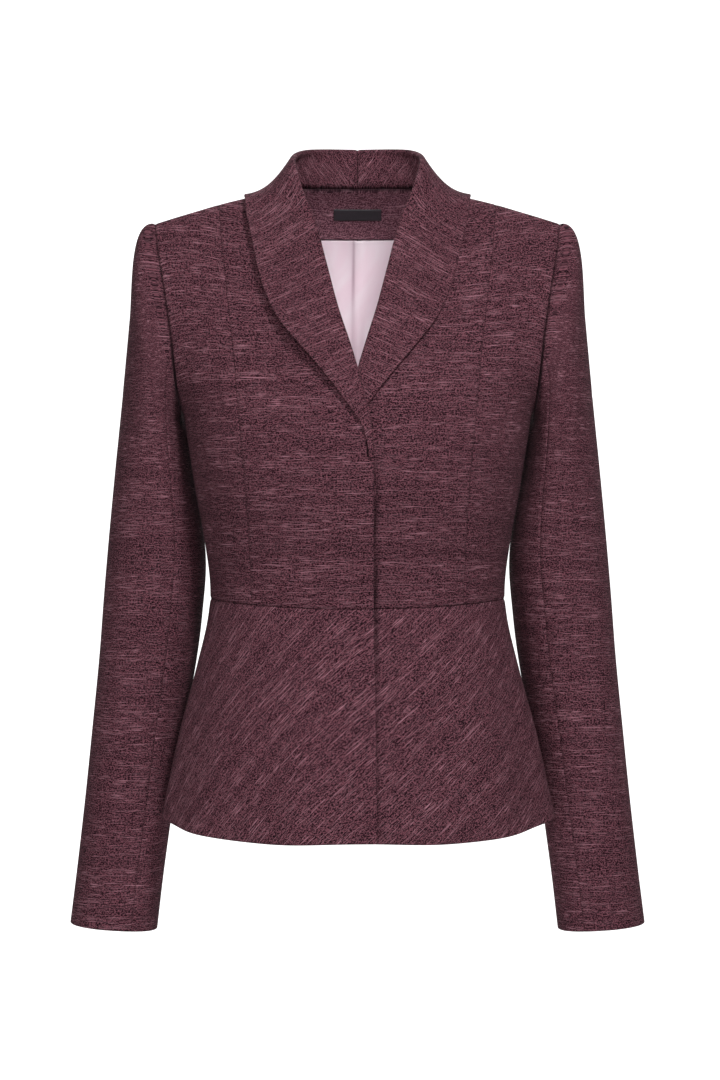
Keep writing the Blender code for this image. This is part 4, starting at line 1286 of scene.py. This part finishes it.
def make_inside_of_back(lighter_facing_looks, lining_looks, label_looks):
    lie = moved_out(facing, -(TWEED + INSIDE_GAP), -1)
    # The facing takes the tweed painted lighter, as painted light inside the back neck.
    cloth_piece(
        "facing_back_neck", lie, fine_lines(0, 1, 140, step=2.6), fine_lines(0, 1, 40, step=2.4), LEFT, -1,
        lighter_facing_looks, straight_threads((2100.0, 60.0)), ("sewn",) * 4, allowance=FACING_ALLOWANCE,
    )
    cloth_piece(
        "lining_back", pleat, fine_lines(0, 1, 230, step=2.2), fine_lines(0, 1, 330, step=4.0), LEFT, -1,
        lining_looks, straight_threads((0.0, 0.0)), ("free",) * 4, thickness=LINING,
        # The lining gets painted shade along its pleat.
        painted_shade_marks=painted_pleat_shade,
    )
    cloth_piece(
        "label_neck", label_face, fine_lines(0, 1, LABEL_WIDTH, step=2.0), np.linspace(0, 1, LABEL_LINES),
        LEFT, -1, label_looks, straight_threads((0.0, 0.0)), ("free",) * 4,
        thickness=WOVEN_LABEL,
    )


# Studio, in metres and watts. A light has a place, a width and height, and a power.
LIGHTS = {
    "key": ((0.9, -2.3, 2.0), (0.5, 0.5), 74.0),
    "front": ((-0.15, -3.5, 0.55), (0.7, 0.7), 50.0),
    "fill": ((-2.2, -1.9, 0.2), (1.4, 1.8), 9.0),
    "back": ((0.0, 1.7, 1.2), (1.6, 1.2), 20.0),
}
LIGHTS_AIM = (0.0, 0.0, -0.3)
# The sweep runs back along the floor, bends up through a quarter circle and rises to its top.
SWEEP_HALF_WIDTH = 6.0
SWEEP_START = -6.0
SWEEP_FLOOR = -1.15
SWEEP_BEND = 1.6
SWEEP_RADIUS = 1.2
SWEEP_BEND_LINES = 16
SWEEP_TOP = 4.0
SWEEP_GLOW = 0.10
ROOM_GLOW = 0.10
WHITE = (1.0, 1.0, 1.0, 1.0)
CAMERA_PLACE = (0.0022, -3.0, -0.3098)
CAMERA_SEES = 0.9504
SENSOR_HEIGHT = 36.0
SENSOR_WIDTH = 24.0


def place_in_scene(name, data):
    made = bpy.data.objects.new(name, data)
    bpy.context.scene.collection.objects.link(made)
    return made


def make_lights():
    for name, (place, size, power) in LIGHTS.items():
        lamp = bpy.data.lights.new(name, "AREA")
        lamp.shape = "RECTANGLE"
        lamp.size, lamp.size_y = size
        lamp.energy = power
        made = place_in_scene(name, lamp)
        made.location = place
        made.rotation_euler = (Vector(LIGHTS_AIM) - Vector(place)).to_track_quat("-Z", "Y").to_euler()


def sweep_white():
    """White that glows to the camera and is clear when seen from its back."""
    white = bpy.data.materials.new("studio white")
    white.use_nodes = True
    tree = white.node_tree
    shader = tree.nodes["Principled BSDF"]
    set_inputs(shader, {"Base Color": (0.55, 0.55, 0.55, 1.0), "Roughness": 1.0})
    set_inputs(shader, {"Specular IOR Level": 0.0, "Emission Color": WHITE})
    seen = tree.nodes.new("ShaderNodeLightPath")
    glow = tree.nodes.new("ShaderNodeMapRange")
    set_inputs(glow, {"To Min": SWEEP_GLOW, "To Max": 1.0})
    tree.links.new(seen.outputs["Is Camera Ray"], glow.inputs["Value"])
    tree.links.new(glow.outputs["Result"], shader.inputs["Emission Strength"])
    side = tree.nodes.new("ShaderNodeNewGeometry")
    from_front = combined(tree, "SUBTRACT", 1.0, side.outputs["Backfacing"])
    tree.links.new(from_front, shader.inputs["Alpha"])
    return white


def make_studio():
    """White sweep behind and below, soft lights and a long lens in front."""
    steps = [(SWEEP_START, SWEEP_FLOOR)]
    for turn in np.linspace(0, math.pi / 2, SWEEP_BEND_LINES):
        back_by = SWEEP_RADIUS * math.sin(turn)
        steps.append((SWEEP_BEND + back_by, SWEEP_FLOOR + SWEEP_RADIUS * (1 - math.cos(turn))))
    steps.append((SWEEP_BEND + SWEEP_RADIUS, SWEEP_TOP))
    corners = [(x, y, z) for y, z in steps for x in (-SWEEP_HALF_WIDTH, SWEEP_HALF_WIDTH)]
    faces = [(2 * i, 2 * i + 1, 2 * i + 3, 2 * i + 2) for i in range(len(steps) - 1)]
    mesh = bpy.data.meshes.new("studio_sweep")
    mesh.from_pydata(corners, [], faces)
    mesh.shade_smooth()
    mesh.materials.append(sweep_white())
    place_in_scene("studio_sweep", mesh)
    world = bpy.data.worlds.new("soft room")
    world.use_nodes = True
    set_inputs(world.node_tree.nodes["Background"], {"Color": WHITE, "Strength": ROOM_GLOW})
    bpy.context.scene.world = world
    bpy.context.scene.view_settings.view_transform = "Standard"
    make_lights()
    lens = bpy.data.cameras.new("long_lens")
    lens.sensor_fit = "VERTICAL"
    lens.sensor_height = SENSOR_HEIGHT
    lens.sensor_width = SENSOR_WIDTH
    lens.lens = SENSOR_HEIGHT * -CAMERA_PLACE[1] / CAMERA_SEES
    camera = place_in_scene("long_lens", lens)
    camera.location = CAMERA_PLACE
    camera.rotation_euler = (math.pi / 2, 0.0, 0.0)
    bpy.context.scene.camera = camera


def main():
    weave = build_slubbed_weave()
    outside = tweed("plum tweed", OUTSIDE_TWEED, weave)
    # A lighter copy of the tweed for the facing, as painted light.
    facing_tweed_painted_lighter = tweed("plum facing tweed painted lighter", FACING_TWEED_PAINTED_LIGHTER, weave)
    lining_look = satin("back lining satin")
    for side in (RIGHT, LEFT):
        make_bodice(side, [outside, lining_look])
        make_sleeves(side, [outside, lining_look])
        make_peplum(side, [outside, lining_look])
        make_collar(side, [outside])
    make_inside_of_back([facing_tweed_painted_lighter], [lining_look], [woven_label("woven label")])
    make_studio()


main()
